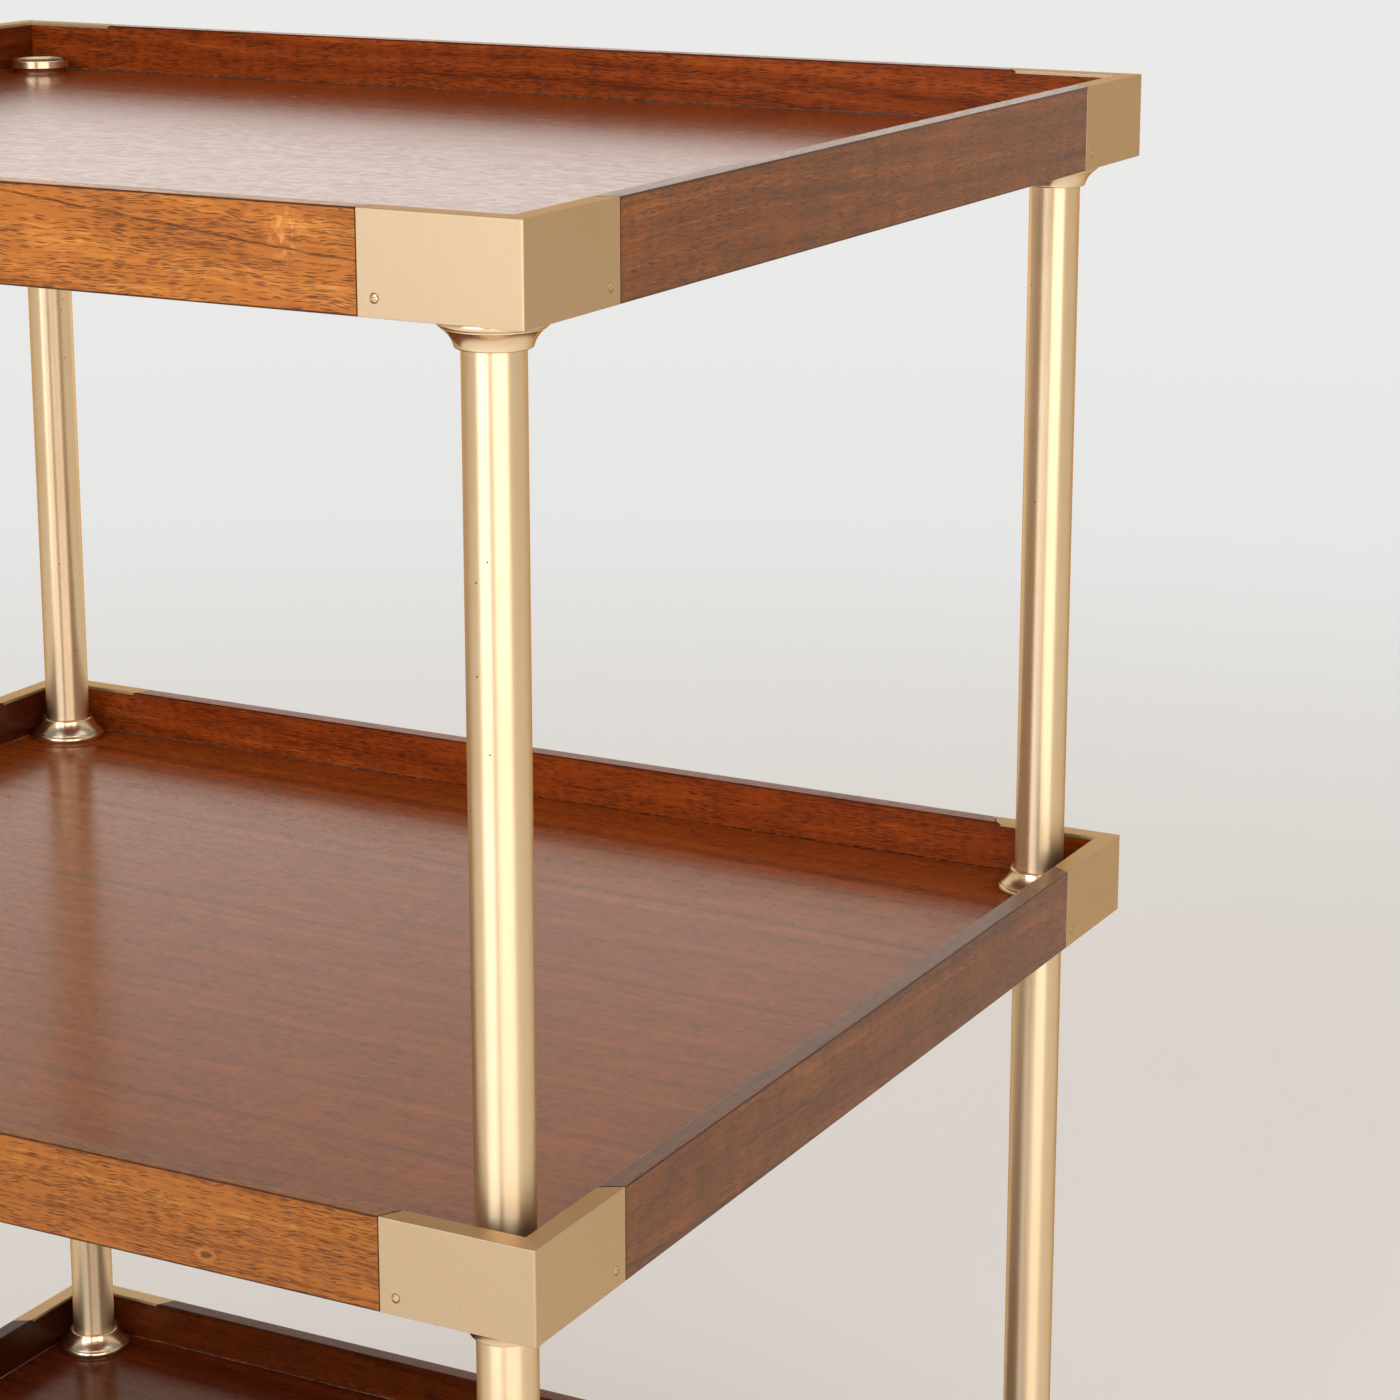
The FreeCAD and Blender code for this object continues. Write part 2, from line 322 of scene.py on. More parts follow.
def buildBoardGrain():
    # grain along X of the vector it is given, in metres
    tree, start, end = newGroup(
        "boardGrain", "ShaderNodeTree",
        [("Vector", "Vector", None), ("Seed", "Float", 0.0),
         ("Pale", "Color", (0.5, 0.25, 0.1, 1)), ("Mid", "Color", (0.3, 0.12, 0.05, 1)),
         ("Dark", "Color", (0.12, 0.04, 0.015, 1)), ("Lines", "Float", 0.5),
         ("Pores", "Float", 0.6), ("Figure", "Float", 0.3),
         ("Knot Place", "Vector", (9, 9, 9)), ("Knot Size", "Float", 0.0),
         ("Sheen", "Float", 0.3), ("Waver", "Float", 0.05),
         ("Flame Place", "Vector", (9, 9, 9)), ("Vein Place", "Vector", (9, 9, 9)),
         ("Vein Slope", "Float", 0.0), ("Fineness", "Float", 1.0)],
        [("Colour", "Color"), ("Roughness", "Float"), ("Height", "Float")])
    given = start.outputs
    shift = vectorCalc(tree, "SCALE", (3.17, 1.31, 2.73))
    plug(tree, given["Seed"], shift.node.inputs["Scale"])
    place = vectorCalc(tree, "ADD", given["Vector"], shift)

    # the rings swell round a knot
    toKnot = vectorCalc(tree, "SUBTRACT", given["Vector"], given["Knot Place"])
    flat = vectorCalc(tree, "MULTIPLY", toKnot, (0.55, 0.2, 1.0))
    gap = vectorCalc(tree, "LENGTH", flat, out="Value")
    size = calc(tree, "MAXIMUM", given["Knot Size"], 0.00001)
    nearness = calc(tree, "DIVIDE", gap, size)
    swell = calc(tree, "DIVIDE", 1.0, calc(tree, "ADD", times(tree, nearness, nearness), 1.0))

    along, sideways, upward = splitVector(tree, place)
    grain = {label: streaks(tree, place, *recipe) for label, recipe in grainNoise.items()}
    waver, fibre, mottle = grain["waver"], grain["fibre"], grain["mottle"]
    across = calc(tree, "MULTIPLY_ADD", sideways, 0.35, upward)
    for value, amount in ((grain["slow"], given["Waver"]), (waver, 0.0022), (swell, 0.012), (along, 0.03)):
        across = calc(tree, "MULTIPLY_ADD", value, amount, across)

    rings = []
    for scale, detail, rough in ((95.0, 3.0, 0.55), (330.0, 2.0, 0.5)):
        made = addNode(tree, "ShaderNodeTexNoise", {"Scale": scale, "Detail": detail, "Roughness": rough},
                       noise_dimensions="1D")
        plug(tree, across, made.inputs["W"])
        rings.append(made.outputs["Fac"])
    broad, thin = rings
    lineMask = times(tree, ramp(tree, thin, 0.60, 0.74), ramp(tree, grain["patch"], 0.42, 0.62))
    diagonal = addNode(tree, "ShaderNodeMapping", {"Rotation": (0.0, 0.5, 0.0), "Scale": (9.0, 12.0, 34.0)})
    plug(tree, place, diagonal.inputs["Vector"])
    figure = noise(tree, diagonal.outputs[0], 1.0, 2.0, 0.5, 0.6)

    # short pore dashes of two sizes, crowded in some places and missing in others
    bent = calc(tree, "MULTIPLY_ADD", waver, 0.0055, upward)
    limit = ramp(tree, grain["crowd"], 0.34, 0.58, 0.85, 0.05)
    poreMask = None
    acrossPores = [times(tree, spot, given["Fineness"]) for spot in (sideways, bent)]
    for length, width, share in poreKinds:
        poreSpot = addNode(tree, "ShaderNodeCombineXYZ")
        plug(tree, times(tree, along, length), poreSpot.inputs[0])
        for spot, socket in zip(acrossPores, poreSpot.inputs[1:]):
            plug(tree, times(tree, spot, width), socket)
        distance, chance = cellNoise(tree, poreSpot.outputs[0], 1.0)
        dash = times(tree, ramp(tree, distance, 0.46, 0.26), calc(tree, "GREATER_THAN", chance, limit))
        dash = times(tree, dash, share)
        poreMask = dash if poreMask is None else calc(tree, "MAXIMUM", poreMask, dash)

    tone = sway(tree, broad, 1.05, 0.5)
    tone = sway(tree, fibre, 0.95, tone)
    tone = sway(tree, mottle, 0.35, tone)
    shine = sway(tree, grain["ripple"], 0.9, calc(tree, "SUBTRACT", figure, 0.5))
    tone = calc(tree, "MULTIPLY_ADD", shine, given["Figure"], tone)
    colour = blendColour(tree, ramp(tree, tone, 0.05, 0.5), given["Dark"], given["Mid"])
    colour = blendColour(tree, ramp(tree, tone, 0.5, 0.98), colour, given["Pale"])
    soot = blendColour(tree, 0.72, given["Dark"], (0.02, 0.006, 0.002, 1))
    colour = blendColour(tree, times(tree, lineMask, given["Lines"]), colour, soot)
    colour = blendColour(tree, times(tree, poreMask, given["Pores"]), colour, soot)
    toFlame = vectorCalc(tree, "SUBTRACT", given["Vector"], given["Flame Place"])
    flame = vectorCalc(tree, "LENGTH", vectorCalc(tree, "MULTIPLY", toFlame, (1.0, 0.2, 0.75)), out="Value")
    flame = times(tree, ramp(tree, flame, 0.0105, 0.002), ramp(tree, grain["flicker"], 0.45, 0.68))
    colour = blendColour(tree, times(tree, flame, 0.5), colour, (0.72, 0.37, 0.12, 1))

    # one dark vein slanting across the board
    toVein = splitVector(tree, vectorCalc(tree, "SUBTRACT", given["Vector"], given["Vein Place"]))
    offVein = calc(tree, "SUBTRACT", toVein[2], times(tree, toVein[0], given["Vein Slope"]))
    offVein = sway(tree, waver, 0.003, offVein)
    vein = ramp(tree, calc(tree, "ABSOLUTE", offVein), 0.0007, 0.0002)
    vein = times(tree, vein, ramp(tree, mottle, 0.35, 0.55, 0.35, 0.85))
    colour = blendColour(tree, vein, colour, soot)
    present = calc(tree, "GREATER_THAN", given["Knot Size"], 0.0001)
    halo = times(tree, ramp(tree, nearness, 1.5, 0.9), present)
    colour = blendColour(tree, times(tree, halo, 0.55), colour, given["Pale"])
    heart = ramp(tree, calc(tree, "MULTIPLY_ADD", mottle, 0.9, nearness), 1.35, 0.9)
    heart = times(tree, heart, present)
    colour = blendColour(tree, times(tree, heart, 0.8), colour, soot)

    rough = sway(tree, mottle, 0.16, given["Sheen"])
    rough = calc(tree, "MULTIPLY_ADD", poreMask, 0.05, rough, True)
    height = times(tree, calc(tree, "SUBTRACT", fibre, 0.5), 0.22)
    height = calc(tree, "MULTIPLY_ADD", poreMask, -0.8, height)
    plug(tree, colour, end.inputs["Colour"])
    plug(tree, rough, end.inputs["Roughness"])
    plug(tree, height, end.inputs["Height"])
    return tree


def buildArrisLine():
    # a dark line painted along the worked edges at the rim and the foot of a rail
    tree, start, end = newGroup(
        "arrisLine", "ShaderNodeTree",
        [("Vector", "Vector", None), ("Edge Height", "Float", 0.0),
         ("Foot Height", "Float", 0.0), ("Width", "Float", 0.0011)],
        [("Mask", "Float")])
    given = start.outputs
    upward = splitVector(tree, given["Vector"])[2]
    wander = streaks(tree, given["Vector"], (60, 60, 60), 2.0)
    width = times(tree, given["Width"], calc(tree, "MULTIPLY_ADD", wander, 0.9, 0.55))
    gaps = [calc(tree, "SUBTRACT", given["Edge Height"], upward),
            calc(tree, "SUBTRACT", upward, given["Foot Height"])]
    masks = []
    for gap in gaps:
        offFlat = calc(tree, "GREATER_THAN", gap, 0.00012)
        masks.append(times(tree, offFlat, ramp(tree, gap, width, times(tree, width, 0.5))))
    plug(tree, calc(tree, "MAXIMUM", masks[0], masks[1]), end.inputs["Mask"])
    return tree


def buildMetalWear():
    tree, start, end = newGroup(
        "metalWear", "ShaderNodeTree",
        [("Vector", "Vector", None), ("Seed", "Float", 0.0),
         ("Clean", "Color", (0.83, 0.56, 0.27, 1)), ("Dull", "Color", (0.6, 0.36, 0.15, 1)),
         ("Brush", "Vector", (60, 60, 2600)), ("Brushing", "Float", 0.1),
         ("Scratches", "Float", 0.3), ("Pits", "Float", 0.5),
         ("Roughness", "Float", 0.25)],
        [("Colour", "Color"), ("Roughness", "Float"), ("Height", "Float")])
    given = start.outputs
    shift = vectorCalc(tree, "SCALE", (1.7, 4.3, 2.9))
    plug(tree, given["Seed"], shift.node.inputs["Scale"])
    place = vectorCalc(tree, "ADD", given["Vector"], shift)
    brushed = streaks(tree, place, given["Brush"], 3.0, 0.6)
    cloud = streaks(tree, place, (22, 22, 22), 3.0, 0.55)
    smear = streaks(tree, place, (160, 160, 90), 3.0, 0.6)

    tilt = addNode(tree, "ShaderNodeMapping", {"Rotation": (0.3, 0.62, 0.35), "Scale": (9.0, 300.0, 900.0)})
    plug(tree, place, tilt.inputs["Vector"])
    hair = noise(tree, tilt.outputs[0], 1.0, 1.0)
    spread = streaks(tree, place, (14, 14, 14), 1.0)
    scratch = times(tree, ramp(tree, hair, 0.70, 0.78), ramp(tree, spread, 0.48, 0.62))
    scratch = times(tree, scratch, given["Scratches"])

    distance, chance = cellNoise(tree, place, 190.0)
    pit = times(tree, ramp(tree, distance, 0.11, 0.05), calc(tree, "GREATER_THAN", chance, 0.9))
    pit = times(tree, pit, given["Pits"])

    colour = blendColour(tree, ramp(tree, cloud, 0.45, 0.85, 0.0, 0.4), given["Clean"], given["Dull"])
    colour = blendColour(tree, ramp(tree, smear, 0.5, 0.9, 0.0, 0.15), colour, given["Dull"])
    colour = blendColour(tree, times(tree, scratch, 0.35), colour, (0.95, 0.8, 0.55, 1))
    colour = blendColour(tree, pit, colour, (0.16, 0.08, 0.03, 1))
    rough = sway(tree, brushed, given["Brushing"], given["Roughness"])
    rough = sway(tree, smear, 0.05, rough)
    rough = calc(tree, "MULTIPLY_ADD", scratch, 0.15, rough)
    rough = calc(tree, "MULTIPLY_ADD", pit, 0.3, rough, True)
    height = times(tree, calc(tree, "SUBTRACT", brushed, 0.5), given["Brushing"])
    height = calc(tree, "MULTIPLY_ADD", scratch, -0.5, height)
    height = calc(tree, "MULTIPLY_ADD", pit, -1.5, height)
    plug(tree, colour, end.inputs["Colour"])
    plug(tree, rough, end.inputs["Roughness"])
    plug(tree, height, end.inputs["Height"])
    return tree


boardGrain = buildBoardGrain()
arrisLine = buildArrisLine()
metalWear = buildMetalWear()


def newMaterial(name, settings):
    material = bpy.data.materials.new(name)
    material.use_nodes = True
    tree = material.node_tree
    tree.nodes.clear()
    shader = addNode(tree, "ShaderNodeBsdfPrincipled", settings)
    output = addNode(tree, "ShaderNodeOutputMaterial")
    plug(tree, shader.outputs[0], output.inputs[0])
    where = addNode(tree, "ShaderNodeTexCoord")
    return material, tree, shader, where.outputs["Object"]


def useGroup(tree, group, vector, values):
    made = addNode(tree, "ShaderNodeGroup", node_tree=group)
    for key, value in values.items():
        made.inputs[key].default_value = value
    plug(tree, vector, made.inputs["Vector"])
    return made


def addBump(tree, shader, height, strength, distance):
    bump = addNode(tree, "ShaderNodeBump", {"Strength": strength, "Distance": distance})
    plug(tree, height, bump.inputs["Height"])
    plug(tree, bump.outputs[0], shader.inputs["Normal"])


# pale, middle and dark tone of each board, with painted light and shade in them: the right, back and left
# rails and the bottom floor are darker, the middle floor lighter
woodAndShadeTones = {
    "front": ((0.58, 0.240, 0.052, 1), (0.380, 0.127, 0.023, 1), (0.180, 0.045, 0.008, 1)),
    "right": ((0.27, 0.080, 0.012, 1), (0.160, 0.041, 0.005, 1), (0.072, 0.014, 0.002, 1)),
    "back": ((0.42, 0.092, 0.014, 1), (0.270, 0.048, 0.006, 1), (0.110, 0.015, 0.002, 1)),
    "left": ((0.24, 0.045, 0.008, 1), (0.140, 0.022, 0.004, 1), (0.060, 0.008, 0.002, 1)),
    "topFloor": ((0.33, 0.070, 0.009, 1), (0.225, 0.040, 0.004, 1), (0.115, 0.016, 0.002, 1)),
    "middleFloor": ((0.42, 0.100, 0.014, 1), (0.305, 0.062, 0.007, 1), (0.165, 0.026, 0.003, 1)),
    "bottomFloor": ((0.15, 0.026, 0.005, 1), (0.095, 0.014, 0.003, 1), (0.050, 0.006, 0.002, 1)),
}


def boardMaterial(name, tone, seed, look):
    # look holds the board's own settings; the ones it leaves out come from plainBoard
    plainBoard = {
        "turned": (0, 0, 0), "waver": 0.05, "figure": 0.34, "lines": 0.55, "pores": 0.85, "lift": 1.0,
        "gloss": 0.3, "sheen": 0.30, "bump": 0.3, "tint": (1.0, 0.88, 0.76, 1), "fineness": 1.0}
    look = {**plainBoard, **look}
    material, tree, shader, where = newMaterial(name, {
        "IOR": 1.5, "Specular IOR Level": look["gloss"], "Specular Tint": look["tint"]})
    turn = addNode(tree, "ShaderNodeMapping", {"Rotation": look["turned"]})
    plug(tree, where, turn.inputs["Vector"])
    # painted shade: the tones are scaled by the board's lift, which darkens the rails of the lower trays
    pale, mid, dark = [(*[share * look["lift"] for share in colour[:3]], 1) for colour in woodAndShadeTones[tone]]
    values = {"Seed": seed, "Pale": pale, "Mid": mid, "Dark": dark, "Lines": look["lines"],
              "Pores": look["pores"], "Figure": look["figure"], "Sheen": look["sheen"],
              "Waver": look["waver"], "Fineness": look["fineness"]}
    values.update(look.get("marks", {}))
    grain = useGroup(tree, boardGrain, turn.outputs[0], values)
    colour = grain.outputs["Colour"]
    if "rim" in look:
        # a dark line painted along the rim's top arris and the rail's foot
        edge = useGroup(tree, arrisLine, where, {"Edge Height": look["rim"], "Foot Height": look["foot"]})
        arrisDark = times(tree, edge.outputs["Mask"], 0.92)
        colour = blendColour(tree, arrisDark, colour, (0.03, 0.009, 0.003, 1))
    plug(tree, colour, shader.inputs["Base Color"])
    plug(tree, grain.outputs["Roughness"], shader.inputs["Roughness"])
    addBump(tree, shader, grain.outputs["Height"], look["bump"], 0.00012)
    return material


def metalMaterial(name, seed, clean, dull, look):
    # look holds the metal's own settings; the ones it leaves out come from plainMetal
    plainMetal = {"brush": (900, 900, 45), "brushing": 0.1, "scratches": 0.4, "pits": 0.3, "rough": 0.3,
                  "bump": 0.25, "smear": 0.0, "edge": (1, 1, 1, 1)}
    look = {**plainMetal, **look}
    material, tree, shader, where = newMaterial(name, {"Metallic": 1.0, "Specular Tint": look["edge"]})
    if look["smear"]:
        # fine lathe lines run round the part, so a light smears along it
        shader.inputs["Anisotropic"].default_value = look["smear"]
        shader.inputs["Anisotropic Rotation"].default_value = 0.25
        lathe = addNode(tree, "ShaderNodeTangent", direction_type="UV_MAP", uv_map="turning")
        plug(tree, lathe.outputs[0], shader.inputs["Tangent"])
    wear = useGroup(tree, metalWear, where, {
        "Seed": seed, "Clean": clean, "Dull": dull, "Brush": look["brush"], "Brushing": look["brushing"],
        "Scratches": look["scratches"], "Pits": look["pits"], "Roughness": look["rough"]})
    plug(tree, wear.outputs["Colour"], shader.inputs["Base Color"])
    plug(tree, wear.outputs["Roughness"], shader.inputs["Roughness"])
    addBump(tree, shader, wear.outputs["Height"], look["bump"], 0.00005)
    return material


metalTones = {
    "brass": (0.82, 0.690, 0.500, 1),
    "dullBrass": (0.74, 0.560, 0.330, 1),
    "brassEdge": (0.52, 0.290, 0.110, 1),
    "plate": (0.545, 0.445, 0.315, 1),
    "dullPlate": (0.520, 0.385, 0.240, 1),
    "plateEdge": (0.95, 0.620, 0.330, 1),
    "screw": (0.45, 0.27, 0.11, 1),
    "rod": (0.55, 0.55, 0.56, 1),
    "dullRod": (0.36, 0.35, 0.34, 1),
    "glide": (0.62, 0.62, 0.63, 1),
    "dullGlide": (0.42, 0.41, 0.39, 1),
}
bracketBrass = metalMaterial("bracketBrass", 2.0, metalTones["plate"], metalTones["dullPlate"], {
    "scratches": 0.8, "pits": 0.25, "rough": 0.48, "edge": metalTones["plateEdge"]})
postBrass = metalMaterial("postBrass", 5.0, metalTones["brass"], metalTones["dullBrass"], {
    "brush": (40, 40, 1500), "brushing": 0.04, "scratches": 0.15, "pits": 0.9, "rough": 0.38,
    "bump": 0.04, "smear": 0.85, "edge": metalTones["brassEdge"]})
turnedBrass = metalMaterial("turnedBrass", 8.0, metalTones["brass"], metalTones["dullBrass"], {
    "brush": (30, 30, 2400), "brushing": 0.08, "scratches": 0.2, "pits": 0.4, "rough": 0.25,
    "bump": 0.18, "smear": 0.6, "edge": metalTones["brassEdge"]})
screwBrass = metalMaterial("screwBrass", 11.0, metalTones["dullBrass"], metalTones["screw"], {
    "brush": (900, 900, 900), "scratches": 0.6, "rough": 0.24})
rodSteel = metalMaterial("rodSteel", 14.0, metalTones["rod"], metalTones["dullRod"], {
    "brush": (20, 20, 1500), "brushing": 0.15, "pits": 0.4, "rough": 0.34})
glideSteel = metalMaterial("glideSteel", 17.0, metalTones["glide"], metalTones["dullGlide"], {
    "brush": (400, 400, 30), "brushing": 0.12, "rough": 0.28})


def nylonMaterial():
    material, tree, shader, where = newMaterial("glideNylon", {"IOR": 1.53})
    speckle = noise(tree, where, 1600.0, 3.0, 0.6)
    cloud = noise(tree, where, 90.0, 3.0, 0.5)
    colour = blendColour(tree, ramp(tree, cloud, 0.35, 0.7), (0.020, 0.018, 0.017, 1),
                         (0.034, 0.031, 0.029, 1))
    colour = blendColour(tree, ramp(tree, speckle, 0.6, 0.8, 0.0, 0.4), colour, (0.07, 0.066, 0.062, 1))
    plug(tree, colour, shader.inputs["Base Color"])
    plug(tree, ramp(tree, speckle, 0.3, 0.7, 0.42, 0.58), shader.inputs["Roughness"])
    addBump(tree, shader, speckle, 0.3, 0.0001)
    return material


# dark lacquer for the fillet and beads; its dark colour also paints the shadow line where the floor meets
# the rims
def lacquerMaterial():
    material, tree, shader, where = newMaterial("lacquerBeadAndShade", {"Coat Weight": 0.8, "Coat Roughness": 0.08})
    cloud = noise(tree, where, 260.0, 3.0, 0.6)
    colour = blendColour(tree, ramp(tree, cloud, 0.4, 0.75), (0.030, 0.009, 0.003, 1),
                         (0.20, 0.062, 0.014, 1))
    plug(tree, colour, shader.inputs["Base Color"])
    plug(tree, ramp(tree, cloud, 0.3, 0.7, 0.16, 0.34), shader.inputs["Roughness"])
    addBump(tree, shader, cloud, 0.25, 0.0002)
    return material


glideNylon = nylonMaterial()
lacquerBeadAndShade = lacquerMaterial()
print("materials ready")


def buildPlaceCopies():
    # one copy of Part at each vertex, turned by the vertex attribute "turn"
    tree, start, end = newGroup(
        "placeCopies", "GeometryNodeTree",
        [("Geometry", "Geometry", None), ("Part", "Object", None), ("Finish", "Material", None)],
        [("Geometry", "Geometry")])
    points = addNode(tree, "GeometryNodeMeshToPoints")
    info = addNode(tree, "GeometryNodeObjectInfo")
    turn = addNode(tree, "GeometryNodeInputNamedAttribute", {"Name": "turn"}, data_type="FLOAT_VECTOR")
    spin = addNode(tree, "FunctionNodeEulerToRotation")
    copies = addNode(tree, "GeometryNodeInstanceOnPoints")
    solid = addNode(tree, "GeometryNodeRealizeInstances")
    finish = addNode(tree, "GeometryNodeSetMaterial")
    for source, made, socket in (
            (start.outputs["Geometry"], points, "Mesh"), (start.outputs["Part"], info, "Object"),
            (points.outputs[0], copies, "Points"), (info.outputs["Geometry"], copies, "Instance"),
            (turn.outputs["Attribute"], spin, 0), (spin.outputs[0], copies, "Rotation"),
            (copies.outputs[0], solid, 0), (solid.outputs[0], finish, "Geometry"),
            (start.outputs["Finish"], finish, "Material"), (finish.outputs[0], end, "Geometry")):
        plug(tree, source, made.inputs[socket])
    return tree


def buildLacquerBeads():
    # squeezed-out beads of lacquer strung along a line, each nudged along it and given a random size
    tree, start, end = newGroup(
        "lacquerBeads", "GeometryNodeTree",
        [("Geometry", "Geometry", None), ("Spacing", "Float", 0.008),
         ("Smallest", "Float", 0.0004), ("Largest", "Float", 0.0012),
         ("Seed", "Int", 3), ("Finish", "Material", None)],
        [("Geometry", "Geometry")])
    curve = addNode(tree, "GeometryNodeMeshToCurve")
    even = addNode(tree, "GeometryNodeResampleCurve", mode="LENGTH")
    points = addNode(tree, "GeometryNodeCurveToPoints", mode="EVALUATED")
    jitter = addNode(tree, "FunctionNodeRandomValue", {0: (-0.004, -0.004, 0.0), 1: (0.004, 0.004, 0.0)},
                     data_type="FLOAT_VECTOR")
    along = addNode(tree, "ShaderNodeVectorMath", operation="PROJECT")
    moved = addNode(tree, "GeometryNodeSetPosition")
    ball = addNode(tree, "GeometryNodeMeshIcoSphere", {"Radius": 1.0, "Subdivisions": 2})
    size = addNode(tree, "FunctionNodeRandomValue", data_type="FLOAT")
    copies = addNode(tree, "GeometryNodeInstanceOnPoints")
    solid = addNode(tree, "GeometryNodeRealizeInstances")
    smooth = addNode(tree, "GeometryNodeSetShadeSmooth")
    finish = addNode(tree, "GeometryNodeSetMaterial")
    sizeIn = [socket for socket in size.inputs if socket.type == "VALUE"]
    sizeOut = [socket for socket in size.outputs if socket.type == "VALUE"][0]
    for source, socket in (
            (start.outputs["Geometry"], curve.inputs[0]), (curve.outputs[0], even.inputs["Curve"]),
            (start.outputs["Spacing"], even.inputs["Length"]), (even.outputs[0], points.inputs["Curve"]),
            (points.outputs["Points"], moved.inputs["Geometry"]), (jitter.outputs[0], along.inputs[0]),
            (points.outputs["Tangent"], along.inputs[1]), (along.outputs[0], moved.inputs["Offset"]),
            (moved.outputs[0], copies.inputs["Points"]), (ball.outputs["Mesh"], copies.inputs["Instance"]),
            (start.outputs["Smallest"], sizeIn[0]), (start.outputs["Largest"], sizeIn[1]),
            (start.outputs["Seed"], jitter.inputs["Seed"]), (start.outputs["Seed"], size.inputs["Seed"]),
            (sizeOut, copies.inputs["Scale"]), (copies.outputs[0], solid.inputs[0]),
            (solid.outputs[0], smooth.inputs[0]), (smooth.outputs[0], finish.inputs["Geometry"]),
            (start.outputs["Finish"], finish.inputs["Material"]),
            (finish.outputs[0], end.inputs["Geometry"])):
        plug(tree, source, socket)
    return tree


placeCopies = buildPlaceCopies()
lacquerBeads = buildLacquerBeads()


def runNodes(name, seedMesh, tree, values):
    # the result as a plain mesh; the carrier goes away
    carrier = newPiece(name + "Seed", seedMesh)
    modifier = carrier.modifiers.new("nodes", "NODES")
    modifier.node_group = tree
    for item in tree.interface.items_tree:
        if item.item_type == "SOCKET" and item.in_out == "INPUT" and item.name in values:
            modifier[item.identifier] = values[item.name]
    carrier.update_tag()
    bpy.context.view_layer.update()
    mesh = evaluatedMesh(carrier)
    mesh.name = name
    carrier.modifiers.remove(modifier)
    bpy.data.objects.remove(carrier)
    return mesh


def copiesOf(name, masterMesh, places, material, sharp=32):
    # places are (location, turn) pairs
    seedMesh = bpy.data.meshes.new(name + "Points")
    seedMesh.from_pydata([tuple(spot) for spot, turn in places], [], [])
    attribute = seedMesh.attributes.new("turn", "FLOAT_VECTOR", "POINT")
    for entry, (spot, turn) in zip(attribute.data, places):
        entry.vector = turn
    master = newPiece(name + "Master", masterMesh)
    mesh = runNodes(name, seedMesh, placeCopies, {"Part": master, "Finish": material})
    bpy.data.objects.remove(master)
    mesh.set_sharp_from_angle(angle=math.radians(sharp))
    return newPiece(name, mesh, material)


trayWork = {
    "rail": 10.0,
    "height": 41.0,
    "topEase": 0.7,
    "footEase": 0.45,
    "tongueLow": 9.0,
    "tongueHigh": 13.5,
    "tongueDepth": 5.0,
    "floorTop": 15.0,
}
bracketWork = {
    "leg": 72.0,
    "gauge": 2.0,
    "lip": 10.0,
    "curve": 7.6,
    "corner": 1.0,
    "seam": 0.42,
    "screwFromEnd": 7.5,
    "screwUp": 7.5,
}


def reachAt(depth):
    # how far the bracket reaches along the rim at this depth from the outer face
    d = min(max(depth / bracketWork["lip"], 0), 1)
    return bracketWork["leg"] - bracketWork["curve"] * (1 - math.sqrt(max(1 - d * d, 0)))


def trayBox(tray):
    low = Vector((9, 9, 9))
    high = Vector((-9, -9, -9))
    for side in sides:
        a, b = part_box(tray + "_rail_" + side)
        low = Vector(map(min, low, a))
        high = Vector(map(max, high, b))
    low.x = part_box(tray + "_bracket_back_left")[0].x
    high.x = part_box(tray + "_bracket_back_right")[1].x
    low.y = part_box(tray + "_bracket_front_left")[0].y
    high.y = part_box(tray + "_bracket_back_left")[1].y
    low.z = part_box(tray + "_bracket_back_left")[0].z
    high.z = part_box(tray + "_bracket_back_left")[1].z
    return low, high


def sidePlace(box, side, along, depth, up):
    # millimetres from the middle of the side, in from the outer face, and above the tray's underside
    low, high = box
    middle = (low + high) / 2
    spots = {
        "front": (middle.x + along * mm, low.y + depth * mm),
        "back": (middle.x - along * mm, high.y - depth * mm),
        "right": (high.x - depth * mm, middle.y + along * mm),
        "left": (low.x + depth * mm, middle.y - along * mm),
    }
    x, y = spots[side]
    return Vector((x, y, low.z + up * mm))


def railOutline():
    w = trayWork
    return easedOutline([
        (0, 0, w["footEase"]), (0, w["height"], w["topEase"]), (w["rail"], w["height"], w["topEase"]),
        (w["rail"], w["tongueHigh"], 0), (w["rail"] - w["tongueDepth"], w["tongueHigh"], 0),
        (w["rail"] - w["tongueDepth"], w["tongueLow"], 0), (w["rail"], w["tongueLow"], 0),
        (w["rail"], 0, w["footEase"])])


def railMesh(name, box, side):
    low, high = box
    half = (high.x - low.x if side in ("front", "back") else high.y - low.y) / mm / 2
    outline = railOutline()
    gauge = bracketWork["gauge"] + 0.04
    shelf = trayWork["height"] - bracketWork["gauge"] - 0.04
    loops = []

    def loop(kind, sign):
        places = []
        for d, z in outline:
            sunkD = max(d, gauge)
            sunkZ = min(z, shelf)
            if kind == "mitre":
                places.append(sidePlace(box, side, sign * (half - sunkD), sunkD, sunkZ))
            else:
                stop = sign * (half - reachAt(d) - bracketWork["seam"])
                inset = (sunkD, sunkZ) if kind == "sunk" else (d, z)
                places.append(sidePlace(box, side, stop, inset[0], inset[1]))
        return places

    for kind, sign in (("mitre", -1), ("sunk", -1), ("full", -1), ("full", 1), ("sunk", 1), ("mitre", 1)):
        loops.append(loop(kind, sign))
    return loftMesh(name, loops)


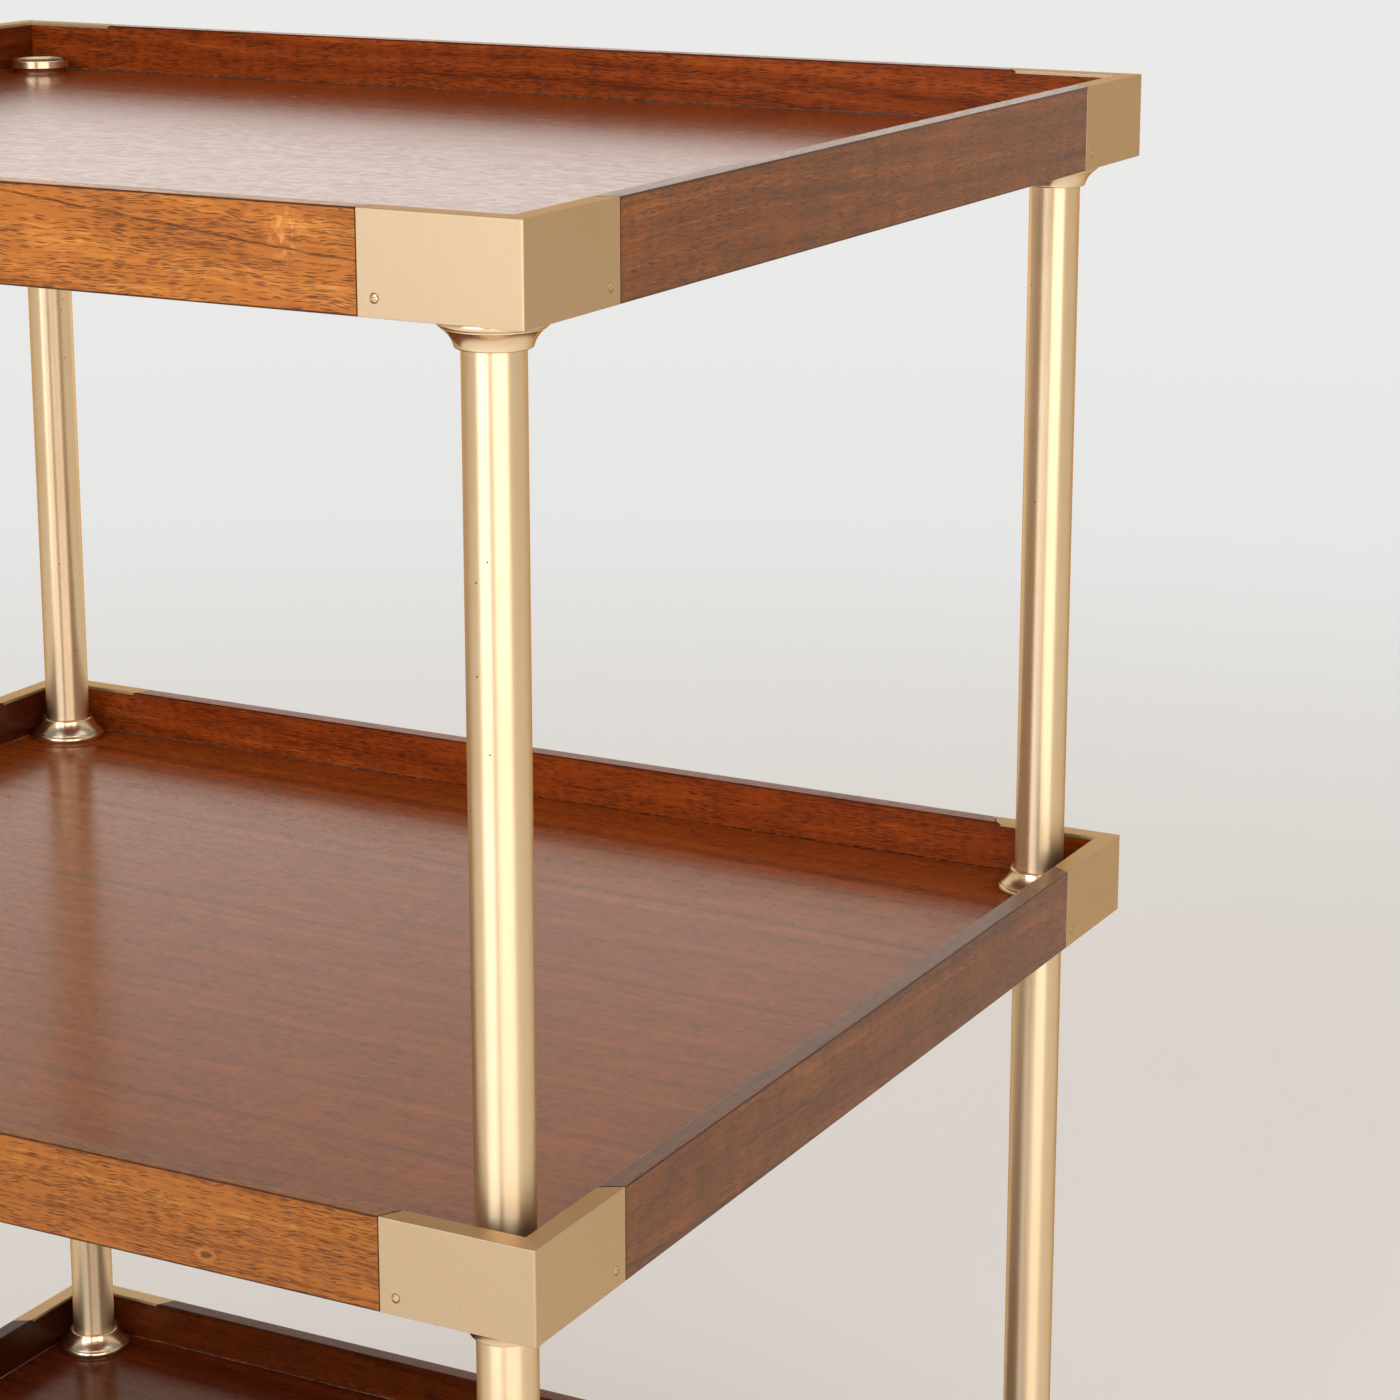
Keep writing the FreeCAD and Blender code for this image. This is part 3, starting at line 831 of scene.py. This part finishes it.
boxes = {tray: trayBox(tray) for tray in trays}
railLook = {
    "front": {"gloss": 0.32},
    "right": {"gloss": 0.45, "figure": 0.62, "turned": (0, 0, -math.pi / 2)},
    "back": {"gloss": 0.2},
    "left": {"gloss": 0.2, "turned": (0, 0, -math.pi / 2)},
}
# painted shade: how much each rail's tones are darkened, most on the lower trays and on the back and left
# inner faces
railPaintedShade = {
    "top": {"front": 1.0, "right": 1.0, "back": 1.0, "left": 1.0},
    "middle": {"front": 0.78, "right": 0.86, "back": 0.95, "left": 0.55},
    "bottom": {"front": 0.70, "right": 0.70, "back": 0.34, "left": 0.24},
}
# marks seen on single boards: a pale flame and a dark vein, a pin knot
boardMarks = {
    ("top", "front"): {"Flame Place": (0.246, -0.305, 0.9475), "Vein Place": (0.278, -0.305, 0.9395),
                       "Vein Slope": -0.104},
    ("middle", "front"): {"Knot Place": (0.194, -0.305, 0.5262), "Knot Size": 0.0024},
}
floorLook = {
    "turned": (math.pi / 2, 0, 0), "waver": 0.016, "figure": 0.25, "lines": 0.10, "pores": 0.6,
    "sheen": 0.20, "bump": 0.04, "fineness": 0.62}
floorGloss = {"top": 0.47, "middle": 0.35, "bottom": 0.18}
floorTint = {"top": (1.0, 0.93, 0.87, 1), "middle": (1.0, 0.80, 0.58, 1), "bottom": (1.0, 0.80, 0.58, 1)}
for tray in trays:
    for side in sides:
        node = tray + "_rail_" + side
        look = {**railLook[side], "lift": railPaintedShade[tray][side], "marks": boardMarks.get((tray, side), {}),
                "rim": boxes[tray][1].z, "foot": boxes[tray][0].z}
        wood = boardMaterial(tray + side.capitalize() + "Board", side, shades.uniform(1, 40), look)
        rail = newPiece(tray + side.capitalize() + "Rail", railMesh(node + "Mesh", boxes[tray], side), wood)
        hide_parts(node)
        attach(rail, "frame")
    look = {**floorLook, "gloss": floorGloss[tray], "tint": floorTint[tray]}
    panelWood = boardMaterial(tray + "FloorBoard", tray + "Floor", shades.uniform(1, 40), look)
    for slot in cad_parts[tray + "_tray_floor"].material_slots:
        slot.material = panelWood
print("rails and floors ready")


def bracketOutline():
    # the L section: a plate let into the side and a lip over the rim
    g = bracketWork["gauge"]
    h = trayWork["height"]
    lip = bracketWork["lip"]
    return easedOutline([(0, 0, 0.25), (0, h, 0.45), (lip, h, 0.45), (lip, h - g, 0.2), (g, h - g, 0),
                         (g, 0, 0.2)])


def insetOutline(outline, amount):
    inset = []
    count = len(outline)
    for index in range(count):
        here = outline[index]
        back = here - outline[index - 1]
        ahead = outline[(index + 1) % count] - here
        normal = Vector((back.y, -back.x)).normalized() + Vector((ahead.y, -ahead.x)).normalized()
        if normal.length < 0.001:
            inset.append(here.copy())
            continue
        normal.normalize()
        inset.append(here + normal * amount)
    return inset


def bracketMaster():
    # the corner is at the origin, one leg runs along X and the other along Y
    outline = bracketOutline()
    radius = bracketWork["corner"]
    loops = []

    def put(u, v, z):
        return Vector((u * mm, v * mm, z * mm))

    ends = [(0.0, 0.34), (0.10, 0.10), (0.34, 0.0)]
    for back, inset in ends:
        ring = insetOutline(outline, inset)
        loops.append([put(reachAt(p.x) - back, p.x, p.y) for p in ring])
    for part in range(9):
        t = math.pi / 2 * part / 8
        ring = []
        for p in outline:
            if p.x < radius:
                arm = radius - p.x
                ring.append(put(radius - arm * math.sin(t), radius - arm * math.cos(t), p.y))
            else:
                ring.append(put(p.x, p.x, p.y))
        loops.append(ring)
    for back, inset in reversed(ends):
        ring = insetOutline(outline, inset)
        loops.append([put(p.x, reachAt(p.x) - back, p.y) for p in ring])
    inward = (bracketWork["leg"] - bracketWork["screwFromEnd"]) * mm
    up = bracketWork["screwUp"] * mm
    spots = [(Vector((inward, 0, up)), Vector((0, 1, 0))), (Vector((0, inward, up)), Vector((1, 0, 0)))]
    return cutSeats(loftMesh("bracketMaster", loops), spots)


def bracketMesh(name, master, box, corner):
    low, high = box
    sx, sy = corners[corner]
    edge = Vector((high.x if sx > 0 else low.x, high.y if sy > 0 else low.y, low.z))
    work = bmesh.new()
    work.from_mesh(master)
    work.transform(Matrix.Translation(edge) @ Matrix.Diagonal((-sx, -sy, 1, 1)))
    return finishMesh(name, work, 30)


screwWork = {
    "head": 3.1,
    "headDepth": 0.9,
    "shank": 1.5,
    "length": 8.6,
    "sunk": 0.16,
    "slotWidth": 0.55,
    "slotDepth": 0.42,
    "seat": 4.2,
    "seatDepth": 0.9,
    "seatFloor": 1.2,
    "holeDepth": 3.0,
    "spare": 0.1,
}


def screwPlaces(box, corner):
    # (place on the outer face, direction into the wood)
    low, high = box
    sx, sy = corners[corner]
    edgeX = high.x if sx > 0 else low.x
    edgeY = high.y if sy > 0 else low.y
    inward = (bracketWork["leg"] - bracketWork["screwFromEnd"]) * mm
    up = low.z + bracketWork["screwUp"] * mm
    return [(Vector((edgeX - sx * inward, edgeY, up)), Vector((0, -sy, 0))),
            (Vector((edgeX, edgeY - sy * inward, up)), Vector((-sx, 0, 0)))]


def cutSeats(mesh, spots):
    # flat-bottomed seats for the screws, wider than the heads
    body = newPiece("bracketBody", mesh)
    w = screwWork
    r = w["seat"] / 2
    hole = w["shank"] / 2 + w["spare"]
    seat = [(0, 0.5), (r, 0.5), (r, -w["seatDepth"]), (hole, -w["seatFloor"]), (hole, -w["holeDepth"]),
            (0, -w["holeDepth"])]
    cutters = []
    for index, (spot, inward) in enumerate(spots):
        cutter = newPiece("seat" + str(index), turnedMesh("seat", [Vector(p) for p in seat], 40))
        turn = Vector((0, 0, -1)).rotation_difference(inward).to_matrix().to_4x4()
        cutter.data.transform(Matrix.Translation(spot) @ turn)
        cutters.append(cutter)
    result = cutAway(body, cutters)
    result.set_sharp_from_angle(angle=math.radians(30))
    return levelNormals(result)


def screwMesh():
    w = screwWork
    r = w["head"] / 2
    top = -w["sunk"]
    outline = easedOutline([
        (0, top, 0), (r * 0.5, top - 0.02, 0), (r, top - 0.10, 0.08), (w["shank"] / 2, -w["headDepth"], 0),
        (w["shank"] / 2, -w["length"] + 0.9, 0), (0, -w["length"], 0)])
    head = newPiece("screwHead", turnedMesh("screwHead", outline, 32))
    slot = bmesh.new()
    bmesh.ops.create_cube(slot, size=1.0)
    bmesh.ops.scale(slot, vec=(w["head"] * 1.3 * mm, w["slotWidth"] * mm, 1.0 * mm), verts=slot.verts)
    bmesh.ops.translate(slot, vec=(0, 0, top * mm + 0.5 * mm - w["slotDepth"] * mm), verts=slot.verts)
    slotMesh = bpy.data.meshes.new("slot")
    slot.to_mesh(slotMesh)
    slot.free()
    return cutAway(head, [newPiece("slotCutter", slotMesh)])


bracketPattern = bracketMaster()
screwSpots = []
for tray in trays:
    for corner in corners:
        spots = screwPlaces(boxes[tray], corner)
        node = tray + "_bracket_" + corner
        mesh = bracketMesh(node + "Mesh", bracketPattern, boxes[tray], corner)
        bracket = newPiece(tray + "Bracket_" + corner, mesh, bracketBrass)
        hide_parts(node)
        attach(bracket, "frame")
        screwSpots += spots
places = []
for spot, inward in screwSpots:
    turn = Vector((0, 0, -1)).rotation_difference(inward).to_matrix().to_4x4()
    turn = turn @ Matrix.Rotation(shades.uniform(0, math.pi), 4, "Z")
    places.append((spot, turn.to_euler()))
screws = copiesOf("bracketScrews", screwMesh(), places, screwBrass)
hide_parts("bracket_screws")
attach(screws, "frame")
print("brackets and screws ready")


turnedParts = {
    "collar": [(5.25, 0), (21, 0), (21.2, 0.9), (22, 2.7, 21.2, 4.4), (20.5, 4.6), (20.5, 5.1),
               (17.3, 8.1, 15.4, 11.9), (15.1, 12.7, 14.4, 13), (12.75, 13), (12.75, 3), (5.25, 3)],
    "capNut": [(5.05, -13), (7, -13), (7, 0), (14.4, 0), (14.9, 1.5, 16.2, 2.7), (17.1, 3.1, 17.1, 3.6),
               (17.1, 6.7), (16.9, 7.1, 16.4, 7.2), (15.5, 7.2), (15.0, 6.3, 13.5, 5.8), (0, 5.8), (0, 3),
               (5.05, 3)],
    "footSocket": [(4.05, 21), (16.4, 21), (18.0, 23.8, 16.6, 26.4), (15.8, 26.6), (15.8, 27.2),
                   (15.2, 36, 14.9, 44.8), (14.7, 45.7, 14.0, 46), (12.75, 46), (12.75, 32), (11.0, 32),
                   (11.0, 56), (10.0, 57), (5.05, 57), (5.05, 41), (4.05, 41)],
    "pad": [(0, 0.7), (4.0, 0.7), (10.5, 0.7), (11.2, 0), (13, 0), (13.7, 0.3, 14, 1), (14, 4.4),
            (13.5, 5.5, 12.4, 6), (6.9, 6), (6.9, 5.4), (4.1, 5.4), (4.1, 4.1), (6.05, 4.1), (6.05, 2.4),
            (0, 2.4)],
}
postWork = {
    "radius": 12.7,
    "wall": 1.5,
    "endEase": 0.35,
}


def postAxis(corner):
    low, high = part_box("upper_post_" + corner)
    return (low + high) / 2


axes = {corner: postAxis(corner) for corner in corners}
collarMesh = turnedMesh("collarMaster", turnedOutline(turnedParts["collar"]))
upright = (0, 0, 0)
turnedOver = (math.pi, 0, 0)
for tray in trays:
    places = []
    for corner in corners:
        x, y = axes[corner].x, axes[corner].y
        places.append((Vector((x, y, boxes[tray][0].z)), turnedOver))
        if tray != "top":
            places.append((Vector((x, y, boxes[tray][0].z + trayWork["floorTop"] * mm)), upright))
    collars = copiesOf(tray + "Collars", collarMesh.copy(), places, turnedBrass)
    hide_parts(tray + "_tray_collars")
    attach(collars, "frame")

topFloor = boxes["top"][0].z + trayWork["floorTop"] * mm
capPlaces = [(Vector((a.x, a.y, topFloor)), upright) for a in axes.values()]
caps = copiesOf("capNuts", turnedMesh("capMaster", turnedOutline(turnedParts["capNut"])),
                capPlaces, turnedBrass)
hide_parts("cap_nuts")
footPlaces = [(Vector((a.x, a.y, 0)), upright) for a in axes.values()]
feet = copiesOf("footSockets", turnedMesh("footMaster", turnedOutline(turnedParts["footSocket"])),
                footPlaces, turnedBrass)
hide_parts("foot_sockets")
for piece in (caps, feet):
    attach(piece, "frame")

for kind, label in (("upper_post_", "upperPost_"), ("lower_post_", "lowerPost_"), ("leg_", "leg_")):
    for corner in corners:
        low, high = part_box(kind + corner)
        centre = (low + high) / 2
        r = postWork["radius"]
        inner = r - postWork["wall"]
        tall = (high.z - low.z) / mm
        ease = postWork["endEase"]
        tube = easedOutline([(inner, 0, 0.2), (r, 0, ease), (r, tall, ease), (inner, tall, 0.2)])
        mesh = turnedMesh(label + "Mesh", tube, 96, (centre.x, centre.y, low.z))
        post = newPiece(label + corner, mesh, postBrass)
        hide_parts(kind + corner)
        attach(post, "frame")
for corner in corners:
    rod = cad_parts["tie_rod_" + corner]
    for slot in rod.material_slots:
        slot.material = rodSteel
print("posts, collars, caps and feet ready")


glideWork = {
    "stem": 4.0,
    "root": 3.42,
    "pitch": 1.25,
    "threadLow": 11.6,
    "threadHigh": 29.0,
    "hexAcross": 13.0,
    "hexLow": 6.0,
    "hexHigh": 10.4,
    "hexTurnedOff": 0.93,
    # (radius, height) up to where the thread starts, and above where it ends
    "button": [(0, 2.5), (5.8, 2.5), (6, 2.7), (6, 4.0), (4, 4.0), (4, 6.0), (3.7, 10.3)],
    "tip": [(3.3, 29.5), (3.0, 30.0), (0, 30.0)],
}


def stemMesh(name, axis):
    # a threaded stem with a hexagon for the spanner and a button that the pad grips
    w = glideWork
    foot = Vector((axis.x, axis.y, 0))
    around = 48
    work = bmesh.new()
    rows = [*w["button"], (w["button"][-1][0], w["threadLow"])]
    count = int((w["threadHigh"] - w["threadLow"]) / (w["pitch"] / 8))
    for k in range(1, count + 1):
        rows.append(("thread", w["threadLow"] + (w["threadHigh"] - w["threadLow"]) * k / count))
    rows += w["tip"]
    rings = []
    for reach, z in rows:
        ring = []
        for k in range(around):
            a = 2 * math.pi * k / around
            r = reach
            if reach == "thread":
                turn = (z / w["pitch"] - k / around) % 1.0
                shape = min(abs(turn - 0.5) * 3.2, 1.0)
                fade = min(1.0, (z - w["threadLow"]) / 1.0, (w["threadHigh"] + 0.4 - z) / 0.8)
                r = w["root"] + (w["stem"] - w["root"] - 0.02) * (1 - shape) * fade + 0.25 * (1 - fade)
            place = Vector((r * math.cos(a), r * math.sin(a), z)) * mm
            ring.append(work.verts.new(place + foot))
        rings.append(ring)
    joinRings(work, rings)
    # the hexagon, with its corners turned off at top and bottom
    widest = w["hexAcross"] / 2 / math.cos(math.pi / 6)
    levels = [(w["hexLow"] + 0.02, w["hexTurnedOff"]), (w["hexLow"] + 0.4, 1.0), (w["hexHigh"] - 0.6, 1.0),
              (w["hexHigh"], w["hexTurnedOff"])]
    hexRings = []
    for z, share in levels:
        ring = []
        for k in range(around):
            a = 2 * math.pi * k / around
            flat = (a % (math.pi / 3)) - math.pi / 6
            r = min(w["hexAcross"] / 2 / math.cos(flat), widest * share)
            place = Vector((r * math.cos(a), r * math.sin(a), z)) * mm
            ring.append(work.verts.new(place + foot))
        hexRings.append(ring)
    joinRings(work, hexRings)
    work.faces.new(list(reversed(hexRings[0])))
    work.faces.new(hexRings[-1])
    return finishMesh(name, work, 28)


for corner in corners:
    axis = axes[corner]
    body = "glide_" + corner
    stem = newPiece("glideStem_" + corner, stemMesh("stem_" + corner, axis), glideSteel)
    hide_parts("glide_stem_" + corner)
    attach(stem, body)
    padMesh = turnedMesh("pad_" + corner, turnedOutline(turnedParts["pad"], 0.3), 72, (axis.x, axis.y, 0))
    pad = newPiece("glidePad_" + corner, padMesh, glideNylon)
    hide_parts("glide_pad_" + corner)
    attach(pad, body)
print("glides ready")


lacquerWork = {
    "line": 0.42,
    "swing": 0.26,
    "spacing": 0.0085,
    "smallest": 0.00012,
    "largest": 0.00062,
    "step": 3.0,
    "keep": 0.72,
    "least": 0.12,
}


def lacquerPiece(tray):
    # a thin uneven fillet where the floor meets the rims, with beads along it; the fillet's dark colour is
    # painted shade for the shadow line at this joint
    box = boxes[tray]
    low, high = box
    up = trayWork["floorTop"]
    inner = trayWork["rail"]
    wander = random.Random(7 + len(tray))
    ring = []
    starts = {}
    for side in sides:
        half = (high.x - low.x if side in ("front", "back") else high.y - low.y) / mm / 2 - inner
        starts[side] = -half
        steps = int(half * 2 / lacquerWork["step"])
        for k in range(steps):
            ring.append((side, -half + 2 * half * k / steps))
    amounts = []
    level = 0.0
    for place in ring:
        level = level * lacquerWork["keep"] + wander.uniform(-1, 1) * 0.5
        amounts.append(max(lacquerWork["least"], lacquerWork["line"] + lacquerWork["swing"] * level))
    work = bmesh.new()
    rings = []
    for (side, along), amount in zip(ring, amounts):
        first = along == starts[side]
        step = [(inner - 0.05, up + amount * 1.25), (inner + amount * 0.35, up + amount * 0.42),
                (inner + amount * 1.1, up - 0.03), (inner - 0.05, up - 0.05)]
        loop = []
        for d, z in step:
            place = sidePlace(box, side, along, d, z)
            if first:
                place = sidePlace(box, side, along + (d - inner), d, z)
            loop.append(work.verts.new(place))
        rings.append(loop)
    joinRings(work, [rings[-1], *rings])
    fillet = finishMesh(tray + "Fillet", work, 60)
    lineMesh = bpy.data.meshes.new(tray + "BeadLine")
    spots = [sidePlace(box, side, along, inner + 0.15, up + 0.12) for side, along in ring]
    links = [(k, (k + 1) % len(spots)) for k in range(len(spots))]
    lineMesh.from_pydata([tuple(spot) for spot in spots], links, [])
    beads = runNodes(tray + "Beads", lineMesh, lacquerBeads, {
        "Spacing": lacquerWork["spacing"], "Smallest": lacquerWork["smallest"],
        "Largest": lacquerWork["largest"], "Seed": 5 + len(tray), "Finish": lacquerBeadAndShade})
    both = bmesh.new()
    both.from_mesh(fillet)
    both.from_mesh(beads)
    mesh = bpy.data.meshes.new(tray + "Lacquer")
    both.to_mesh(mesh)
    both.free()
    piece = newPiece(tray + "LacquerLine", mesh, lacquerBeadAndShade)
    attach(piece, "frame")


for tray in trays:
    lacquerPiece(tray)
print("lacquer lines ready")


studio = {
    "coveRadius": 8.0,
    "coveBend": 2.6,
    "coveTop": 7.0,
    "wallGlow": 0.825,
    "middleGlow": 0.79,
    "floorGlow": 0.14,
    "backGlow": 1.05,
    "sideGlow": 0.235,
    "skyLight": 0.26,
    "keyLeft": 55.0,
    "keyRight": 66.0,
    "warmth": (1.0, 0.91, 0.82),
    "overhead": 30.0,
    "overheadPlace": (0.2, 0.3, 4.2),
    "overheadSize": 4.0,
    # where the lit floor gives way to glowing paper, and where the paper reaches its wall tone
    "floorEnds": (1.3, 3.6),
    "wallStarts": (2.4, 6.4),
    # the brighter part of the wall: its heading, how wide, from how far out and up to what height
    "backHeading": (-0.5, 0.866, 0),
    "backSpread": (0.64, 0.90),
    "backOut": (2.0, 5.0),
    "backTop": (3.3, 2.1),
    "sideTone": (1.0, 0.70, 0.36),
    "backTone": (1.0, 0.99, 0.97),
}


def coveMaterial():
    material, tree, shader, where = newMaterial("studioPaper", {
        "Roughness": 0.9, "IOR": 1.3, "Specular IOR Level": 0.0})
    height = splitVector(tree, where)[2]
    paper = noise(tree, where, 3.0, 3.0, 0.5)
    colour = blendColour(tree, paper, (0.755, 0.755, 0.757, 1), (0.775, 0.775, 0.777, 1))
    flat = vectorCalc(tree, "MULTIPLY", where, (1, 1, 0))
    away = vectorCalc(tree, "LENGTH", flat, out="Value")
    seen = addNode(tree, "ShaderNodeLightPath").outputs["Is Camera Ray"]
    far = ramp(tree, away, *studio["floorEnds"])
    glow = ramp(tree, away, *studio["wallStarts"], studio["middleGlow"], studio["wallGlow"])
    glow = times(tree, far, glow)
    glow = calc(tree, "MULTIPLY_ADD", calc(tree, "SUBTRACT", 1.0, far), studio["floorGlow"], glow)
    faded = times(tree, seen, far)
    colour = blendColour(tree, faded, colour, (0.0, 0.0, 0.0, 1))
    plug(tree, colour, shader.inputs["Base Color"])
    heading = vectorCalc(tree, "NORMALIZE", flat)
    facing = vectorCalc(tree, "DOT_PRODUCT", heading, studio["backHeading"], out="Value")
    behind = times(tree, ramp(tree, facing, *studio["backSpread"]), ramp(tree, away, *studio["backOut"]))
    behind = times(tree, behind, ramp(tree, height, *studio["backTop"], 0.15, 1.0))
    side = [studio["sideGlow"] * share for share in studio["sideTone"]]
    back = [studio["backGlow"] * share for share in studio["backTone"]]
    lamp = blendColour(tree, behind, (*side, 1), (*back, 1))
    paperGlow = addNode(tree, "ShaderNodeCombineColor")
    for socket, share in zip(paperGlow.inputs, (1.0, 0.998, 0.985)):
        plug(tree, times(tree, glow, share), socket)
    plug(tree, blendColour(tree, seen, lamp, paperGlow.outputs[0]), shader.inputs["Emission Color"])
    shader.inputs["Emission Strength"].default_value = 1.0
    return material


def buildCove():
    outline = [Vector((0, 0)), Vector((2.0, 0)), Vector((4.0, 0))]
    bend = studio["coveBend"]
    radius = studio["coveRadius"]
    for k in range(25):
        a = math.pi / 2 * k / 24
        outline.append(Vector((radius - bend + bend * math.sin(a), bend - bend * math.cos(a))))
    outline.append(Vector((radius, studio["coveTop"])))
    work = bmesh.new()
    around = 128
    rings = []
    for point in outline:
        rings.append([work.verts.new((point.x * math.cos(2 * math.pi * k / around),
                                      point.x * math.sin(2 * math.pi * k / around), point.y))
                      for k in range(around)])
    joinRings(work, rings)
    bmesh.ops.remove_doubles(work, verts=work.verts, dist=1e-5)
    bmesh.ops.recalc_face_normals(work, faces=work.faces)
    for face in work.faces:
        face.smooth = True
        if face.normal.z < -0.5:
            face.normal_flip()
    mesh = bpy.data.meshes.new("studioCove")
    work.to_mesh(mesh)
    work.free()
    cove = newPiece("studioCove", mesh, coveMaterial())


buildCove()


def softBox(name, azimuth, distance, width, low, high, power, colour=(1, 1, 1)):
    # azimuth 0 is in front, 90 is to the right
    a = math.radians(azimuth)
    middle = (low + high) / 2
    place = Vector((math.sin(a) * distance, -math.cos(a) * distance, middle))
    lamp = bpy.data.lights.new(name, "AREA")
    lamp.shape = "RECTANGLE"
    lamp.size = width
    lamp.size_y = high - low
    lamp.energy = power
    lamp.color = colour
    box = bpy.data.objects.new(name, lamp)
    box.location = place
    target = Vector((0, 0, middle))
    box.rotation_euler = (target - place).to_track_quat("-Z", "Y").to_euler()
    box.visible_camera = False
    bpy.context.scene.collection.objects.link(box)


softBox("softBoxLeft", -5.0, 3.3, 2.25, 0.42, 2.9, studio["keyLeft"])
softBox("softBoxRight", 50.5, 3.3, 2.9, 0.42, 2.9, studio["keyRight"], studio["warmth"])
overhead = bpy.data.lights.new("overhead", "AREA")
overhead.shape = "DISK"
overhead.size = studio["overheadSize"]
overhead.energy = studio["overhead"]
overheadBox = bpy.data.objects.new("overhead", overhead)
overheadBox.location = studio["overheadPlace"]
overheadBox.visible_camera = False
bpy.context.scene.collection.objects.link(overheadBox)

world = bpy.data.worlds.new("studio")
world.use_nodes = True
world.node_tree.nodes["Background"].inputs[0].default_value = (1.0, 0.99, 0.975, 1)
world.node_tree.nodes["Background"].inputs[1].default_value = studio["skyLight"]
bpy.context.scene.world = world

cameraSetup = {
    "place": (1.0235, -1.437, 1.139),
    "turn": 27.974,
    "down": 13.924,
    "lens": 94.27,
    "shiftY": -0.06,
}
lens = bpy.data.cameras.new("camera")
lens.lens = cameraSetup["lens"]
lens.sensor_width = 36.0
lens.shift_y = cameraSetup["shiftY"]
lens.clip_start = 0.05
camera = bpy.data.objects.new("camera", lens)
camera.location = cameraSetup["place"]
camera.rotation_euler = (math.radians(90 - cameraSetup["down"]), 0, math.radians(cameraSetup["turn"]))
bpy.context.scene.collection.objects.link(camera)
bpy.context.scene.camera = camera
bpy.context.scene.view_settings.view_transform = "Standard"
print("studio ready")
